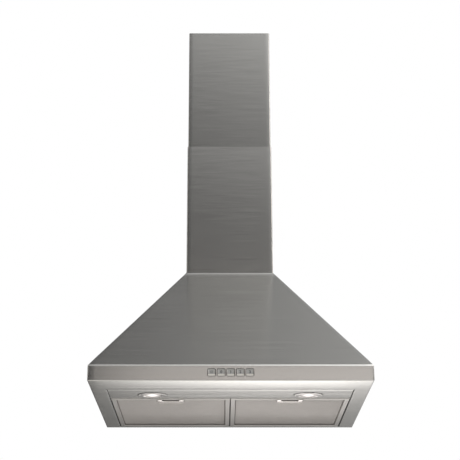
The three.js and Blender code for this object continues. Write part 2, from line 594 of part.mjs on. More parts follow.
function makeFilter(side, name) {
  const plan = filterPlan(side);
  const midX = (plan.x0 + plan.x1) / 2;
  const [z0, z1] = [filter.bottom, filterTop];
  const { rail, wall, lip } = filter;
  const section = [
    [0.9, z0], [0, z0 + 0.9], [0, z1 - 0.5], [0.5, z1], [rail, z1], [rail, z1 - wall], [wall, z1 - wall],
    [wall, z0 + wall], [rail - wall, z0 + wall], [rail - wall, z0 + lip], [rail, z0 + lip], [rail, z0 + 0.5],
    [rail - 0.5, z0],
  ];
  const ring = ([inset, z]) => [
    [plan.x0 + inset, plan.y0 + inset, z], [plan.x1 - inset, plan.y0 + inset, z],
    [plan.x1 - inset, plan.y1 - inset, z], [plan.x0 + inset, plan.y1 - inset, z],
  ];
  let frame = cut(loft(section.map(ring)), nosePassage(midX, plan.y0 - 1, plan.y0 + 2));
  for (const x of [plan.x0 + filterTab.inset, plan.x1 - filterTab.inset]) {
    const tabZ = sheet + seat;
    const half = filterTab.width / 2;
    const reach = plan.y1 + filterTab.reach;
    frame = union(frame, box(x - half, x + half, plan.y1 - wall, reach, tabZ, tabZ + filterTab.thickness));
  }
  add(`filter_frame_${name}`, frame, finish.aluminium);

  // The mesh pack: a crimped border that fills the channel, and a net of diamond openings.
  const margin = wall + seat;
  const pack = { x0: plan.x0 + margin, x1: plan.x1 - margin, y0: plan.y0 + margin, y1: plan.y1 - margin };
  const rectangle = (inset) => [
    [pack.x0 + inset, pack.y0 + inset], [pack.x1 - inset, pack.y0 + inset],
    [pack.x1 - inset, pack.y1 - inset], [pack.x0 + inset, pack.y1 - inset],
  ];
  const innerWidth = pack.x1 - pack.x0 - 2 * net.border;
  const innerDepth = pack.y1 - pack.y0 - 2 * net.border;
  const [pitchX, pitchY] = [innerWidth / net.columns, innerDepth / net.rows];
  const [a, b] = [pitchX / 2 - net.strand / 2, pitchY / 2 - net.strand / 2];
  const diamonds = [];
  for (let row = 0; row < 2 * net.rows - 1; row++) {
    const staggered = row % 2;
    for (let column = 0; column < net.columns - staggered; column++) {
      const x = pack.x0 + net.border + pitchX * (column + 0.5 + staggered / 2);
      const y = pack.y0 + net.border + (pitchY / 2) * (row + 1);
      diamonds.push([[x - a, y], [x, y - b], [x + a, y], [x, y + b]]);
    }
  }
  const border = alongZ(rectangle(0), packZ0, packZ1, [rectangle(net.border)]);
  const netSheet = alongZ(rectangle(net.border / 2), packZ0, packZ0 + net.thickness, diamonds);
  const housingHalf = latchHousing.width / 2;
  const housingRear = plan.y0 + latchHousing.depth;
  const notch = (grow, front, za, zb) =>
    box(midX - housingHalf - grow, midX + housingHalf + grow, front, housingRear + grow, za, zb);
  const notchBorder = notch(net.notchBorder, pack.y0 + net.border / 2, packZ0, packZ1);
  const mesh = cut(union(border, netSheet, notchBorder), notch(seat, plan.y0, packZ0 - 1, packZ1 + 1));
  add(`filter_mesh_${name}`, mesh, finish.filterMesh);

  // Latch housing: a cap let into the mesh's front border, open to the front and below.
  const cap = cut(
    notch(0, pack.y0, packZ0, housingTop),
    notch(-latchHousing.wall, pack.y0 - 1, packZ0 - 1, housingTop - latchHousing.wall),
  );
  add(`latch_housing_${name}`, cap, finish.aluminium);

  // The latch: a U-shaped pull under the filter, two necks that rise behind the front rail, and
  // a bridge with a nose that reaches forward into the lamp panel.
  const pullTop = filter.bottom - seat;
  const pullBottom = pullTop - pull.thickness;
  const pullFront = plan.y0 + pull.front;
  const pullRear = pullFront + pull.depth;
  const half = pull.width / 2;
  const gap = half - pull.leg;
  const plate = cut(
    alongZ(
      roundRectangle(midX - half, midX + half, pullFront, pullRear, pull.corner, 2), pullBottom, pullTop,
    ),
    box(midX - gap, midX + gap, pullFront - 1, pullRear - pull.bar, pullBottom - 1, pullTop + 1),
  );
  const pullLip = box(
    midX - half + pull.corner, midX + half - pull.corner, pullRear - pull.thickness, pullRear,
    pullBottom - pull.lip, pullTop,
  );
  const neckFront = plan.y0 + rail + seat;
  const neckRear = neckFront + latch.neck;
  const necks = [-1, 1].map((end) => {
    const edges = [midX + end * (gap + 0.5), midX + end * (half - 1)].sort((p, q) => p - q);
    return box(edges[0], edges[1], neckFront, neckRear, pullBottom, noseZ1);
  });
  const bridge = box(midX - half + 1, midX + half - 1, neckRear - latch.bridge, neckRear, noseZ0, noseZ1);
  const noseHalf = latch.noseWidth / 2;
  const nose = box(midX - noseHalf, midX + noseHalf, plan.y0 - latch.proud, neckRear, noseZ0, noseZ1);
  add(`filter_latch_${name}`, union(plate, pullLip, ...necks, bridge, nose), finish.aluminium);
}

// ---------------------------------------------------------------- chimney
// Both covers are folded sheets, open along the wall but for two narrow returns. The upper one
// is smaller by its play and slides inside the lower one.
function makeCover(halfX, front, returnY, z0, z1, slots) {
  const plan = { x0: -halfX, x1: halfX, y0: front, y1: returnY };
  let cover = foldedAround(plan, [[0, z0], [0, z1], [sheet, z1], [sheet, z0]], fold.hip);
  const opening = halfX - chimney.rearReturn;
  cover = cut(cover, box(-opening, opening, returnY - 5, returnY + 5, z0 - 1, z1 + 1));
  for (const outline of slots) cover = cut(cover, alongX(outline, -halfX - 5, halfX + 5));
  return cover;
}

const upperHalf = chimney.width / 2 - sheet - chimney.slide;
const upperFront = -chimney.depth + sheet + chimney.slide;
const upperBack = -(sheet + chimney.slide);
const bracketMidZ = upperTop - bracket.below;
const armScrewY = upperBack - sheet - bracket.arm / 2;

// Countersunk side screws: their heads lie in the sheet, so the cover passes into the lower one.
const screwFace = upperHalf - 0.05;
const screwUnderHead = screwFace - sideScrew.headHeight;
const screwEnd = screwFace - sideScrew.length;
const sideScrewProfile = (grow) => [
  [0, screwFace + grow], [sideScrew.headDiameter / 2 + grow, screwFace + grow],
  [sideScrew.diameter / 2 + grow, screwUnderHead], [sideScrew.diameter / 2 + grow, screwEnd], [0, screwEnd],
];
const sideScrewSolid = (side, grow) =>
  turned(sideScrewProfile(grow), 12)
    .rotate([0, 0, side > 0 ? -90 : 90])
    .translate([0, armScrewY, bracketMidZ]);

function makeChimney() {
  const lower = makeCover(chimney.width / 2, -chimney.depth, 0, body.canopyHeight + seat, lowerTop, []);
  add("lower_chimney", lower, finish.chimneySteel);
  const slots = Array.from({ length: vent.count }, (_, i) => {
    const z = upperTop - vent.belowTop - i * vent.pitch;
    const [halfY, halfZ] = [vent.length / 2, vent.width / 2];
    return roundRectangle(chimneyMid - halfY, chimneyMid + halfY, z - halfZ, z + halfZ, halfZ - 0.01, 1);
  });
  const upper = makeCover(upperHalf, upperFront, upperBack, upperBottom, upperTop, slots);
  add(
    "upper_chimney",
    cut(upper, sideScrewSolid(-1, screwClearance), sideScrewSolid(1, screwClearance)),
    finish.chimneySteel,
  );

  // Wall bracket: a channel across the back of the upper cover, with two pads pressed back to the wall.
  const x = upperHalf - sheet - seat;
  const webFront = upperBack - sheet - seat - bracket.thickness;
  const [z0, z1] = [bracketMidZ - bracket.height / 2, bracketMidZ + bracket.height / 2];
  const webHalf = x - fold.hip / 2; // clear of the cover's corner bend
  const web = box(-webHalf, webHalf, webFront, webFront + bracket.thickness, z0, z1);
  const arms = [-1, 1].map((side) => {
    const edges = [side * x, side * (x - bracket.thickness)].sort((a, b) => a - b);
    return box(edges[0], edges[1], webFront - bracket.arm, webFront + 0.5, z0, z1);
  });
  const padX = bracket.padSpacing / 2;
  const pads = [-padX, padX].map((at) =>
    alongY(circle(at, bracketMidZ, bracket.padDiameter / 2, 16), webFront + 0.5, 0),
  );
  let made = union(web, ...arms, ...pads);
  for (const side of [-1, 1]) {
    const hole = alongY(circle(side * padX, bracketMidZ, bracket.hole / 2, 12), webFront - 5, 5);
    made = cut(made, hole, sideScrewSolid(side, screwClearance));
  }
  add("wall_bracket", made, finish.galvanised);

  add("chimney_screw_left", sideScrewSolid(-1, 0), finish.screwSteel);
  add("chimney_screw_right", sideScrewSolid(1, 0), finish.screwSteel);
}

// ---------------------------------------------------------------- outlet and non-return flaps
const flapAxisZ = body.canopyHeight + seat + flap.shelfHeight + knuckle.diameter / 2 + seat;
const collarInner = collar.diameter / 2 - collar.wall;

function makeOutlet() {
  const plateTop = body.canopyHeight - sheet - seat;
  const plateX = canopyTop.x - topPlate.margin;
  const plateY = canopyTop.front + topPlate.margin;
  const plateRear = rearGapY - seat;
  const plate = alongZ(
    [[-plateX, plateY], [plateX, plateY], [plateX, plateRear], [-plateX, plateRear]],
    plateTop - topPlate.thickness, plateTop, [circle(0, chimneyMid, topPlate.hole / 2, 24)],
  );
  add("outlet_plate", plate, finish.galvanised);

  // The collar stands on its flange; inside, a shelf with a sloping underside stops the flaps.
  const z0 = body.canopyHeight + seat;
  const outerR = collar.diameter / 2;
  const flangeR = collar.flangeDiameter / 2;
  const flangeTop = z0 + collar.flangeThickness;
  const shelfTop = z0 + flap.shelfHeight;
  const shelfR = collarInner - flap.shelf;
  const tube = turnedAt(
    [
      [collarInner, z0], [flangeR, z0], [flangeR, flangeTop], [outerR, flangeTop],
      [outerR, z0 + collar.height - collar.lead], [outerR - 0.8, z0 + collar.height],
      [collarInner, z0 + collar.height], [collarInner, shelfTop], [shelfR, shelfTop],
      [shelfR, shelfTop - 1.5], [collarInner, shelfTop - 5], [collarInner, z0],
    ],
    0, chimneyMid, 24,
  );
  const pinBore = (play, reach) =>
    alongY(circle(0, flapAxisZ, flapPin.diameter / 2 + play, 12), chimneyMid - reach, chimneyMid + reach);
  add("outlet_collar", cut(tube, pinBore(seat, outerR + 5)), finish.darkPlastic);
  add("flap_pin", pinBore(0, outerR - 0.2), finish.screwSteel);

  // Each flap is half a disc with two knuckles on the pin; the knuckles of the two take turns.
  const flapR = collarInner - flap.play;
  const knuckleR = knuckle.diameter / 2;
  const start = knuckleR + 1;
  const limit = Math.acos(start / flapR);
  const low = flapAxisZ - knuckleR;
  for (const [side, name, first] of [[-1, "left", -1.5], [1, "right", -0.5]]) {
    const rimPoints = Array.from({ length: 13 }, (_, i) => {
      const angle = limit * (i / 6 - 1);
      return [side * flapR * Math.cos(angle), chimneyMid + side * flapR * Math.sin(angle)];
    });
    let leaf = alongZ(rimPoints, low, low + flap.thickness);
    for (const k of [0, 1]) {
      const centre = chimneyMid + (first + k * 2) * (knuckle.length + knuckle.gap);
      const [y0, y1] = [centre - knuckle.length / 2, centre + knuckle.length / 2];
      const arm = [0, side * (start + 2)].sort((a, b) => a - b);
      leaf = union(
        leaf,
        alongY(circle(0, flapAxisZ, knuckleR, 10), y0, y1),
        box(arm[0], arm[1], y0, y1, low, low + flap.thickness),
      );
    }
    add(`flap_${name}`, cut(leaf, pinBore(flapPin.play, outerR)), finish.darkPlastic);
  }
}

// ---------------------------------------------------------------- blower
// The casing is a spiral: its radius grows steadily from the tongue, over the front and the
// bottom, to the back, where the wall rises straight to the outlet.
function scrollOutline(offset, top) {
  const points = [[axisY + tongueRadius * Math.cos(tongueRadians) - offset, top]];
  const steps = 17;
  for (let i = 0; i <= steps; i++) {
    const share = i / steps;
    const angle = tongueRadians + (2 * Math.PI - tongueRadians) * share;
    const radius = tongueRadius + scroll.growth * share + offset;
    const y = axisY + radius * Math.cos(angle);
    points.push([i === 0 ? points[0][0] : y, scroll.axisHeight + radius * Math.sin(angle)]);
  }
  points.push([axisY + scrollEndRadius + offset, top]);
  return points;
}

const inletR = bellmouth.diameter / 2;

// A sheet wrapper follows the spiral between two side plates, each with a bellmouth pressed in.
function makeCasing() {
  const plateBottom = body.canopyHeight - sheet - seat - topPlate.thickness;
  const top = plateBottom - seat;
  const wrapperX = scroll.halfWidth - scroll.wall - seat;
  const outside = scrollOutline(scroll.wall, top);
  const wrapper = alongX([...outside, ...scrollOutline(0, top).reverse()], -wrapperX, wrapperX);
  add("blower_wrapper", wrapper, finish.galvanised);
  for (const [side, name] of [[-1, "left"], [1, "right"]]) {
    const face = side * scroll.halfWidth;
    const edges = [face, face - side * scroll.wall].sort((a, b) => a - b);
    const eye = circle(axisY, scroll.axisHeight, inletR + bellmouth.radius - 0.5, 24);
    const plate = alongX(outside, edges[0], edges[1], [eye]);
    // The bellmouth curls a quarter turn from the plate into the eye of the wheel.
    const curl = (radius) =>
      [0, 30, 60, 90].map((degrees) => {
        const angle = THREE.MathUtils.degToRad(degrees);
        const x = face - side * (bellmouth.radius - radius * Math.cos(angle));
        return [inletR + bellmouth.radius - radius * Math.sin(angle), x];
      });
    const lip = [...curl(bellmouth.radius), ...curl(bellmouth.radius - scroll.wall).reverse()];
    const mouth = turnedAlongX([...lip, lip[0]], 24);
    add(`blower_casing_${name}`, union(plate, mouth), finish.galvanised);
  }
}

const shaftStart = -hub.length / 2 - 2;

function makeWheel() {
  const half = wheel.width / 2;
  const innerR = wheelRadius - blade.depth;
  const rings = [-1, 1].map((side) => {
    const [a, b] = [side * (half - wheel.ring), side * half].sort((p, q) => p - q);
    const profile = [[innerR, a], [innerR, b], [wheelRadius, b], [wheelRadius, a], [innerR, a]];
    return turnedAlongX(profile, wheel.blades);
  });
  // Forward-curved blade: an arc that leans in the direction of rotation towards its outer edge.
  const bladeLine = [0, 0.5, 1].map((share) => ({
    r: innerR + blade.margin + (blade.depth - 2 * blade.margin) * share,
    lean: THREE.MathUtils.degToRad(blade.lean - blade.sweep * share * share),
  }));
  const edge = (side) => bladeLine.map(({ r, lean }) => [lean + (side * blade.thickness) / 2 / r, r]);
  const section = [...edge(1), ...edge(-1).reverse()];
  let made = union(...rings);
  for (let i = 0; i < wheel.blades; i++) {
    const turn = (2 * Math.PI * (i + 0.5)) / wheel.blades;
    const outline = section.map(([lean, r]) => [
      axisY + r * Math.cos(turn + lean), scroll.axisHeight + r * Math.sin(turn + lean),
    ]);
    made = union(made, alongX(outline, -half + 0.4, half - 0.4));
  }
  add("blower_wheel", made, finish.greyPlastic);

  // The centre plate is crimped between the blades and carries them on the hub.
  const hubR = hub.diameter / 2;
  const plateR = innerR + blade.margin - seat;
  const plate = turnedAlongX(
    [
      [0, hub.length / 2], [hubR, hub.length / 2], [hubR + 3, hub.disc / 2], [plateR, hub.disc / 2],
      [plateR, -hub.disc / 2], [hubR + 3, -hub.disc / 2], [hubR, -hub.length / 2], [0, -hub.length / 2],
    ],
    wheel.blades,
  );
  const bore = alongX(circle(axisY, scroll.axisHeight, shaft.diameter / 2 + seat, 14), -half, half);
  add("wheel_hub", cut(plate, bore), finish.motorSteel);
  add(
    "motor_shaft",
    alongX(circle(axisY, scroll.axisHeight, shaft.diameter / 2, 14), shaftStart, shaftStart + shaft.length),
    finish.screwSteel,
  );
}

function makeMotor() {
  const r = motor.diameter / 2;
  const [x0, x1] = [motor.start, motor.start + motor.length];
  const bearingR = motor.bearingDiameter / 2;
  const bevel = motor.shoulder;
  const can = turnedAlongX(
    [
      [0, x1 + bevel], [bearingR - 2, x1 + bevel], [bearingR, x1], [r - bevel, x1], [r, x1 - bevel],
      [r, x0 + bevel], [r - bevel, x0], [bearingR + 2, x0], [bearingR, x0 - motor.boss], [0, x0 - motor.boss],
    ],
    24,
  );
  const bore = alongX(
    circle(axisY, scroll.axisHeight, shaft.diameter / 2 + shaft.play, 14),
    x0 - motor.boss - 5, shaftStart + shaft.length + 1,
  );
  // Cooling slots in the outer shoulder of the can.
  let made = cut(can, bore);
  for (let i = 0; i < motor.slots; i++) {
    const angle = (360 * i) / motor.slots;
    const slot = box(x1 - 3, x1 + 3, -1.6, 1.6, r * 0.5, r - 8);
    made = cut(made, slot.rotate([angle, 0, 0]).translate([0, axisY, scroll.axisHeight]));
  }
  add("blower_motor", made, finish.motorSteel);

  // Three-armed spider: a ring on the casing's wall, arms over the inlet and a clamp on the motor.
  const seatR = inletR + bellmouth.radius + 1;
  const s0 = scroll.halfWidth + seat;
  const s1 = s0 + spider.thickness;
  const clampR = r + seat;
  const ring = alongX(
    circle(axisY, scroll.axisHeight, seatR + spider.ringWidth, 24), s0, s1,
    [circle(axisY, scroll.axisHeight, seatR, 24)],
  );
  const clamp = alongX(
    circle(axisY, scroll.axisHeight, clampR + spider.clampThickness, 24), s0, s0 + spider.clampLength,
    [circle(axisY, scroll.axisHeight, clampR, 24)],
  );
  const arms = [90, 210, 330].map((angle) =>
    box(s0, s1, clampR + 1, seatR + spider.ringWidth / 2, -spider.armWidth / 2, spider.armWidth / 2)
      .rotate([angle, 0, 0])
      .translate([0, axisY, scroll.axisHeight]),
  );
  add("motor_spider", union(ring, clamp, ...arms), finish.galvanised);
}

// ---------------------------------------------------------------- electrics on the back panel
function makeElectrics() {
  const wallY = -(back.thickness + seat);
  const t = terminalBox;
  const [x0, x1] = [t.x - t.width / 2, t.x + t.width / 2];
  const [z0, z1] = [t.z - t.height / 2, t.z + t.height / 2];
  const front = wallY - t.depth;
  const glandY = wallY - t.depth / 2;
  const glandR = gland.diameter / 2;
  const glandHole = alongZ(circle(t.x, glandY, glandR + seat, 16), z1 - t.wall - 2, z1 + 2);
  const shell = cut(
    alongY(roundRectangle(x0, x1, z0, z1, 3, 2), front, wallY),
    box(x0 + t.wall, x1 - t.wall, front - 1, wallY - t.wall, z0 + t.wall, z1 - t.wall),
    glandHole,
  );
  add("terminal_box", shell, finish.greyPlastic);
  // The lid hooks behind the box's lower wall with a tongue.
  const tongueX = t.width / 2 - t.wall - seat;
  const tongueZ = z0 + t.wall + seat;
  const lid = union(
    alongY(roundRectangle(x0, x1, z0, z1, 3, 2), front - seat - t.lid, front - seat),
    box(t.x - tongueX, t.x + tongueX, front - seat - 0.5, front + 3, tongueZ, tongueZ + 1.5),
  );
  add("terminal_box_lid", lid, finish.greyPlastic);

  // Cable gland for the mains lead: a hexagon on the box and a bored dome.
  const boreR = gland.bore / 2;
  const glandZ = z1 + seat;
  const glandFoot = z1 - t.wall - 3;
  const hexTop = glandZ + gland.hexLength;
  const dome = turnedAt(
    [
      [boreR, glandFoot], [glandR, glandFoot], [glandR, hexTop], [glandR + 1, hexTop + 2],
      [boreR + 2, glandZ + gland.length], [boreR, glandZ + gland.length], [boreR, glandFoot],
    ],
    t.x, glandY, 16,
  );
  const hexagon = cut(
    alongZ(circle(t.x, glandY, gland.hex / 2, 6), glandZ, hexTop),
    alongZ(circle(t.x, glandY, boreR, 16), glandZ - 5, hexTop + 5),
  );
  add("cable_gland", union(dome, hexagon), finish.darkPlastic);

  // Round capacitor, held by a band clip on a foot.
  const c = capacitor;
  const canR = c.diameter / 2;
  const [low, high] = [c.z - c.length / 2, c.z + c.length / 2];
  const clipR = canR + seat;
  const canY = wallY - capacitorClip.thickness - seat - canR;
  const can = turnedAt(
    [
      [0, low], [canR - 1, low], [canR, low + 1], [canR, high - 2], [canR - 2, high], [6, high],
      [6, high + 4], [0, high + 4],
    ],
    c.x, canY, 18,
  );
  add("motor_capacitor", can, finish.aluminium);
  const clipZ = [c.z - capacitorClip.width / 2, c.z + capacitorClip.width / 2];
  const footHalf = canR + capacitorClip.ear;
  const band = alongZ(circle(c.x, canY, clipR + capacitorClip.thickness, 18), ...clipZ, [
    circle(c.x, canY, clipR, 18),
  ]);
  const foot = box(c.x - footHalf, c.x + footHalf, wallY - capacitorClip.thickness, wallY, ...clipZ);
  add("capacitor_clip", union(band, foot), finish.galvanised);

  const d = lampDriver;
  add(
    "lamp_driver",
    alongY(
      roundRectangle(d.x - d.width / 2, d.x + d.width / 2, d.z - d.height / 2, d.z + d.height / 2, 3, 2),
      wallY - d.depth, wallY,
    ),
    finish.darkPlastic,
  );
}

// ---------------------------------------------------------------- assembly
makeBand();
makeCanopy();
makeBackPanel();
makeLampPanel();
makeLamp(-1, "left");
makeLamp(1, "right");
makeButtons();
makeFilter(-1, "left");
makeFilter(1, "right");
makeChimney();
makeOutlet();
makeCasing();
makeWheel();
makeMotor();
makeElectrics();

export default hood;
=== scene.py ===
"""Studio scene of a wall-mounted chimney range hood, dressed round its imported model.

The sections follow the hood as it is put together: back panel, canopy, band, lamp panel, lamps,
buttons, filters with their latches, outlet and flaps, blower, electrics, chimney covers, wall bracket.
Sizes are written in millimetres above the rim's underside, and turned to metres by `placed`.
"""

import math

import bmesh
import bpy
import numpy as np
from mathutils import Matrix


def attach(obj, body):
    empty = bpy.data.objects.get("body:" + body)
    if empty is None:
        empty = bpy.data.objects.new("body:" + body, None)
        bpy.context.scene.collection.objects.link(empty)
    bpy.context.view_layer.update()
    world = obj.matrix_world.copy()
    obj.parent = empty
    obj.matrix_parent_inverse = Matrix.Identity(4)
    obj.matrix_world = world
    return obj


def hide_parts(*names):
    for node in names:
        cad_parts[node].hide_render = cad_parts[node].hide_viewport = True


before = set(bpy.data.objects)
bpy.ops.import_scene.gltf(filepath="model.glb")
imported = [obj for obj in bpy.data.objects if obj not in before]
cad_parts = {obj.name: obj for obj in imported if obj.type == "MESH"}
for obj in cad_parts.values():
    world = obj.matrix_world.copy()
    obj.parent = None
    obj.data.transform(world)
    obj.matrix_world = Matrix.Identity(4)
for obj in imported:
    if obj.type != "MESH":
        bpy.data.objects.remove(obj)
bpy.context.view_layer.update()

# ------------------------------------------------------------------ camera
# The photograph looks up at the hood from about 0.6 m below its rim and 2.7 m in front, with a long
# lens that is tilted up and not shifted upwards.
camera_data = bpy.data.cameras.new("camera")
camera_data.sensor_width = 36
camera_data.lens = 101.9
camera_data.shift_x = 0.0163
camera = bpy.data.objects.new("camera", camera_data)
camera.location = (-0.0173, -3.160, -0.873)
camera.rotation_euler = (math.radians(90 + 19.78), 0, 0)
bpy.context.scene.collection.objects.link(camera)
bpy.context.scene.camera = camera

# ------------------------------------------------------------------ studio
# A pale floor a good way below the hood, white surroundings, two big soft lamps of which the right
# one is the stronger, and two long soft boxes that the sheet mirrors.
bpy.context.scene.view_settings.view_transform = "Standard"


def linear(colour):
    """An sRGB hex colour as linear red, green, blue and an alpha of 1."""
    channels = [int(colour[i : i + 2], 16) / 255 for i in (1, 3, 5)]
    return [c / 12.92 if c <= 0.04045 else ((c + 0.055) / 1.055) ** 2.4 for c in channels] + [1]


def add_node(tree, kind, settings=None, links=None):
    """Adds a shader node. A setting or a link whose name or number is an input's goes to that
    input; stops are a ramp's (position, grey level) pairs; any other setting is a property."""
    made = tree.nodes.new("ShaderNode" + kind)
    for key, value in (settings or {}).items():
        if key == "stops":
            elements = made.color_ramp.elements
            while len(elements) < len(value):
                elements.new(1)
            for element, (position, grey) in zip(elements, value):
                element.position = position
                element.color = (grey, grey, grey, 1)
        elif isinstance(key, int) or key in made.inputs:
            made.inputs[key].default_value = value
        else:
            setattr(made, key, value)
    for key, source in (links or {}).items():
        tree.links.new(source, made.inputs[key])
    return made


floor_z = -1.85
floor_radius = 2.6
angles = np.linspace(0, 2 * np.pi, 128, endpoint=False)
rim_points = np.stack(
    [floor_radius * np.cos(angles), floor_radius * np.sin(angles), np.full(128, floor_z)], 1
)
floor_mesh = bpy.data.meshes.new("floor")
floor_mesh.from_pydata(rim_points.tolist(), [], [list(range(128))])
floor = bpy.data.objects.new("floor", floor_mesh)
bpy.context.scene.collection.objects.link(floor)
floor_paint = bpy.data.materials.new("pale_studio_floor")
floor_paint.use_nodes = True
tree = floor_paint.node_tree
tree.nodes.clear()
# Lit paint that keeps the hood's soft shadow, lifted to white; from below it is clear.
path = add_node(tree, "LightPath")
paint = add_node(tree, "BsdfDiffuse", {"Color": linear("#E9E7E2")})
lift = add_node(tree, "Emission", {"Color": (1, 1, 1, 1), "Strength": 0.35})
lit = add_node(tree, "AddShader", links={0: paint.outputs[0], 1: lift.outputs[0]})
direct = add_node(
    tree, "Math", {"operation": "MAXIMUM"},
    {0: path.outputs["Is Camera Ray"], 1: path.outputs["Is Glossy Ray"]},
)
shown = add_node(tree, "MixShader", links={0: direct.outputs[0], 1: paint.outputs[0], 2: lit.outputs[0]})
side = add_node(tree, "NewGeometry")
clear = add_node(tree, "BsdfTransparent")
above = add_node(
    tree, "MixShader", links={0: side.outputs["Backfacing"], 1: shown.outputs[0], 2: clear.outputs[0]}
)
add_node(tree, "OutputMaterial", links={"Surface": above.outputs[0]})
floor_mesh.materials.append(floor_paint)

world = bpy.data.worlds.new("studio")
bpy.context.scene.world = world
world.use_nodes = True
world.cycles.sampling_method = "NONE"
tree = world.node_tree
tree.nodes.clear()
direction = add_node(tree, "TexCoord").outputs["Generated"]
axes = add_node(tree, "SeparateXYZ", links={0: direction})
# What metal and glass see: white surroundings that are brighter to the right and fall off to a
# soft grey in front of the hood, above the low strip of light.
height = add_node(tree, "MapRange", {"From Min": -1.0}, {"Value": axes.outputs["Z"]})
front_stops = [
    (0.0, 1.2), (0.25, 1.0), (0.42, 0.25), (0.58, 0.10), (0.655, 0.05), (0.69, 0.09), (0.705, 0.20),
    (0.735, 0.48), (0.79, 1.0), (0.88, 2.10), (0.92, 1.10), (0.955, 0.62), (0.99, 0.54), (1.0, 0.50),
]
front = add_node(tree, "ValToRGB", {"stops": front_stops}, {0: height.outputs[0]})
rear_stops = [
    (0.0, 0.6), (0.25, 0.36), (0.36, 0.20), (0.42, 0.18), (0.50, 0.3), (0.65, 0.5), (0.9, 0.36),
    (0.99, 0.34), (1.0, 0.5),
]
rear = add_node(tree, "ValToRGB", {"stops": rear_stops}, {0: height.outputs[0]})
facing = add_node(
    tree, "MapRange", {"From Min": -0.15, "From Max": 0.15, "interpolation_type": "SMOOTHSTEP"},
    {"Value": axes.outputs["Y"]},
)
around = add_node(
    tree, "Mix", {"data_type": "RGBA"}, {0: facing.outputs[0], 6: front.outputs[0], 7: rear.outputs[0]}
)
sideways = add_node(tree, "MapRange", {"From Min": -1.0}, {"Value": axes.outputs["X"]})
slant_stops = [
    (0.0, 0.8), (0.3, 0.5), (0.42, 0.52), (0.46, 0.72), (0.5, 1.0), (0.54, 1.38), (0.58, 1.8),
    (0.7, 1.9), (1.0, 1.2),
]
slant = add_node(tree, "ValToRGB", {"stops": slant_stops}, {0: sideways.outputs[0]})
mirrored = add_node(
    tree, "Mix", {"data_type": "RGBA", "blend_type": "MULTIPLY", 0: 1.0},
    {6: around.outputs[2], 7: slant.outputs[0]},
)
seen_in_gloss = add_node(tree, "Background", {"Strength": 1.0}, {"Color": mirrored.outputs[2]})
plain = add_node(tree, "Background", {"Color": linear("#F4F3F0"), "Strength": 0.72})
white = add_node(tree, "Background", {"Color": (1, 1, 1, 1), "Strength": 1.0})
path = add_node(tree, "LightPath")
gloss = add_node(
    tree, "Math", {"operation": "MAXIMUM"},
    {0: path.outputs["Is Glossy Ray"], 1: path.outputs["Is Transmission Ray"]},
)
indirect = add_node(
    tree, "MixShader", links={0: gloss.outputs[0], 1: plain.outputs[0], 2: seen_in_gloss.outputs[0]}
)
backdrop = add_node(
    tree, "MixShader", links={0: path.outputs["Is Camera Ray"], 1: indirect.outputs[0], 2: white.outputs[0]}
)
add_node(tree, "OutputWorld", links={"Surface": backdrop.outputs[0]})

# Two big lamps, and two soft boxes close to the hood: one in front that the band mirrors and one
# low behind that the rim mirrors. The light of a soft box falls off along it, by its stops.
even = [(0.0, 1.0), (1.0, 1.0)]
front_box = [(0.0, 0.1), (0.075, 0.26), (0.14, 0.54), (0.25, 0.82), (0.46, 0.95), (0.8, 1.0), (1.0, 0.93)]
low_box = [
    (0.0, 0.3), (0.125, 1.5), (0.225, 2.1), (0.425, 2.3), (0.575, 2.1), (0.70, 1.7), (0.85, 1.1),
    (0.95, 0.55), (1.0, 0.3),
]
for name, place, size, power, aim, tint, stops in (
    ("lamp_right", (3.2, -2.6, 1.9), (1.6, 1.6), 60, (0, -0.25, 0.1), "#FFFAF6", even),
    ("lamp_left", (-3.4, -2.2, 1.2), (1.8, 1.8), 22, (0, -0.25, 0.1), "#FFFAF6", even),
    ("front_box", (0.04, -1.70, -0.02), (1.12, 0.46), 1.62, (0.04, 0, -0.02), "#FFF7F2", front_box),
    ("low_box", (0.06, 0.05, -0.56), (0.80, 0.28), 0.77, (0.06, -1, -0.56), "#FFFCFA", low_box),
):
    light = bpy.data.lights.new(name, "AREA")
    light.shape = "RECTANGLE"
    light.size, light.size_y = size
    light.energy = power
    light.use_nodes = True
    tree = light.node_tree
    tree.nodes.clear()
    along = add_node(tree, "SeparateXYZ", links={0: add_node(tree, "NewGeometry").outputs["Parametric"]})
    strength = add_node(tree, "ValToRGB", {"stops": stops}, {0: along.outputs["X"]})
    glow = add_node(tree, "Emission", {"Color": linear(tint)}, {"Strength": strength.outputs[0]})
    add_node(tree, "OutputLight", links={"Surface": glow.outputs[0]})
    lamp_object = bpy.data.objects.new(name, light)
    offset = np.array(aim, float) - np.array(place)
    lamp_object.location = place
    lamp_object.rotation_euler = (
        math.acos(-offset[2] / np.linalg.norm(offset)), 0, math.atan2(offset[1], offset[0]) - math.pi / 2
    )
    lamp_object.visible_camera = False
    bpy.context.scene.collection.objects.link(lamp_object)

# ------------------------------------------------------------------ back panel
# A flat galvanised sheet that closes the hood along the wall, with two keyholes to hang it on, two
# slots to fix it by, and a neck behind the chimney. It is punched from 1 mm sheet.
hang_height = 250.0


def placed(points):
    """Points in millimetres above the rim's underside, as metres in the shared frame."""
    return (np.asarray(points, float) - [0, 0, hang_height]) / 1000


def stood(u, v, station, axis):
    """Points (u, v) at a station along an axis: across X they are (y, z), across Y (x, z), and
    across Z (x, y)."""
    order = {"X": (station, u, v), "Y": (u, station, v), "Z": (u, v, station)}[axis]
    return placed(np.stack(np.broadcast_arrays(*order), -1))


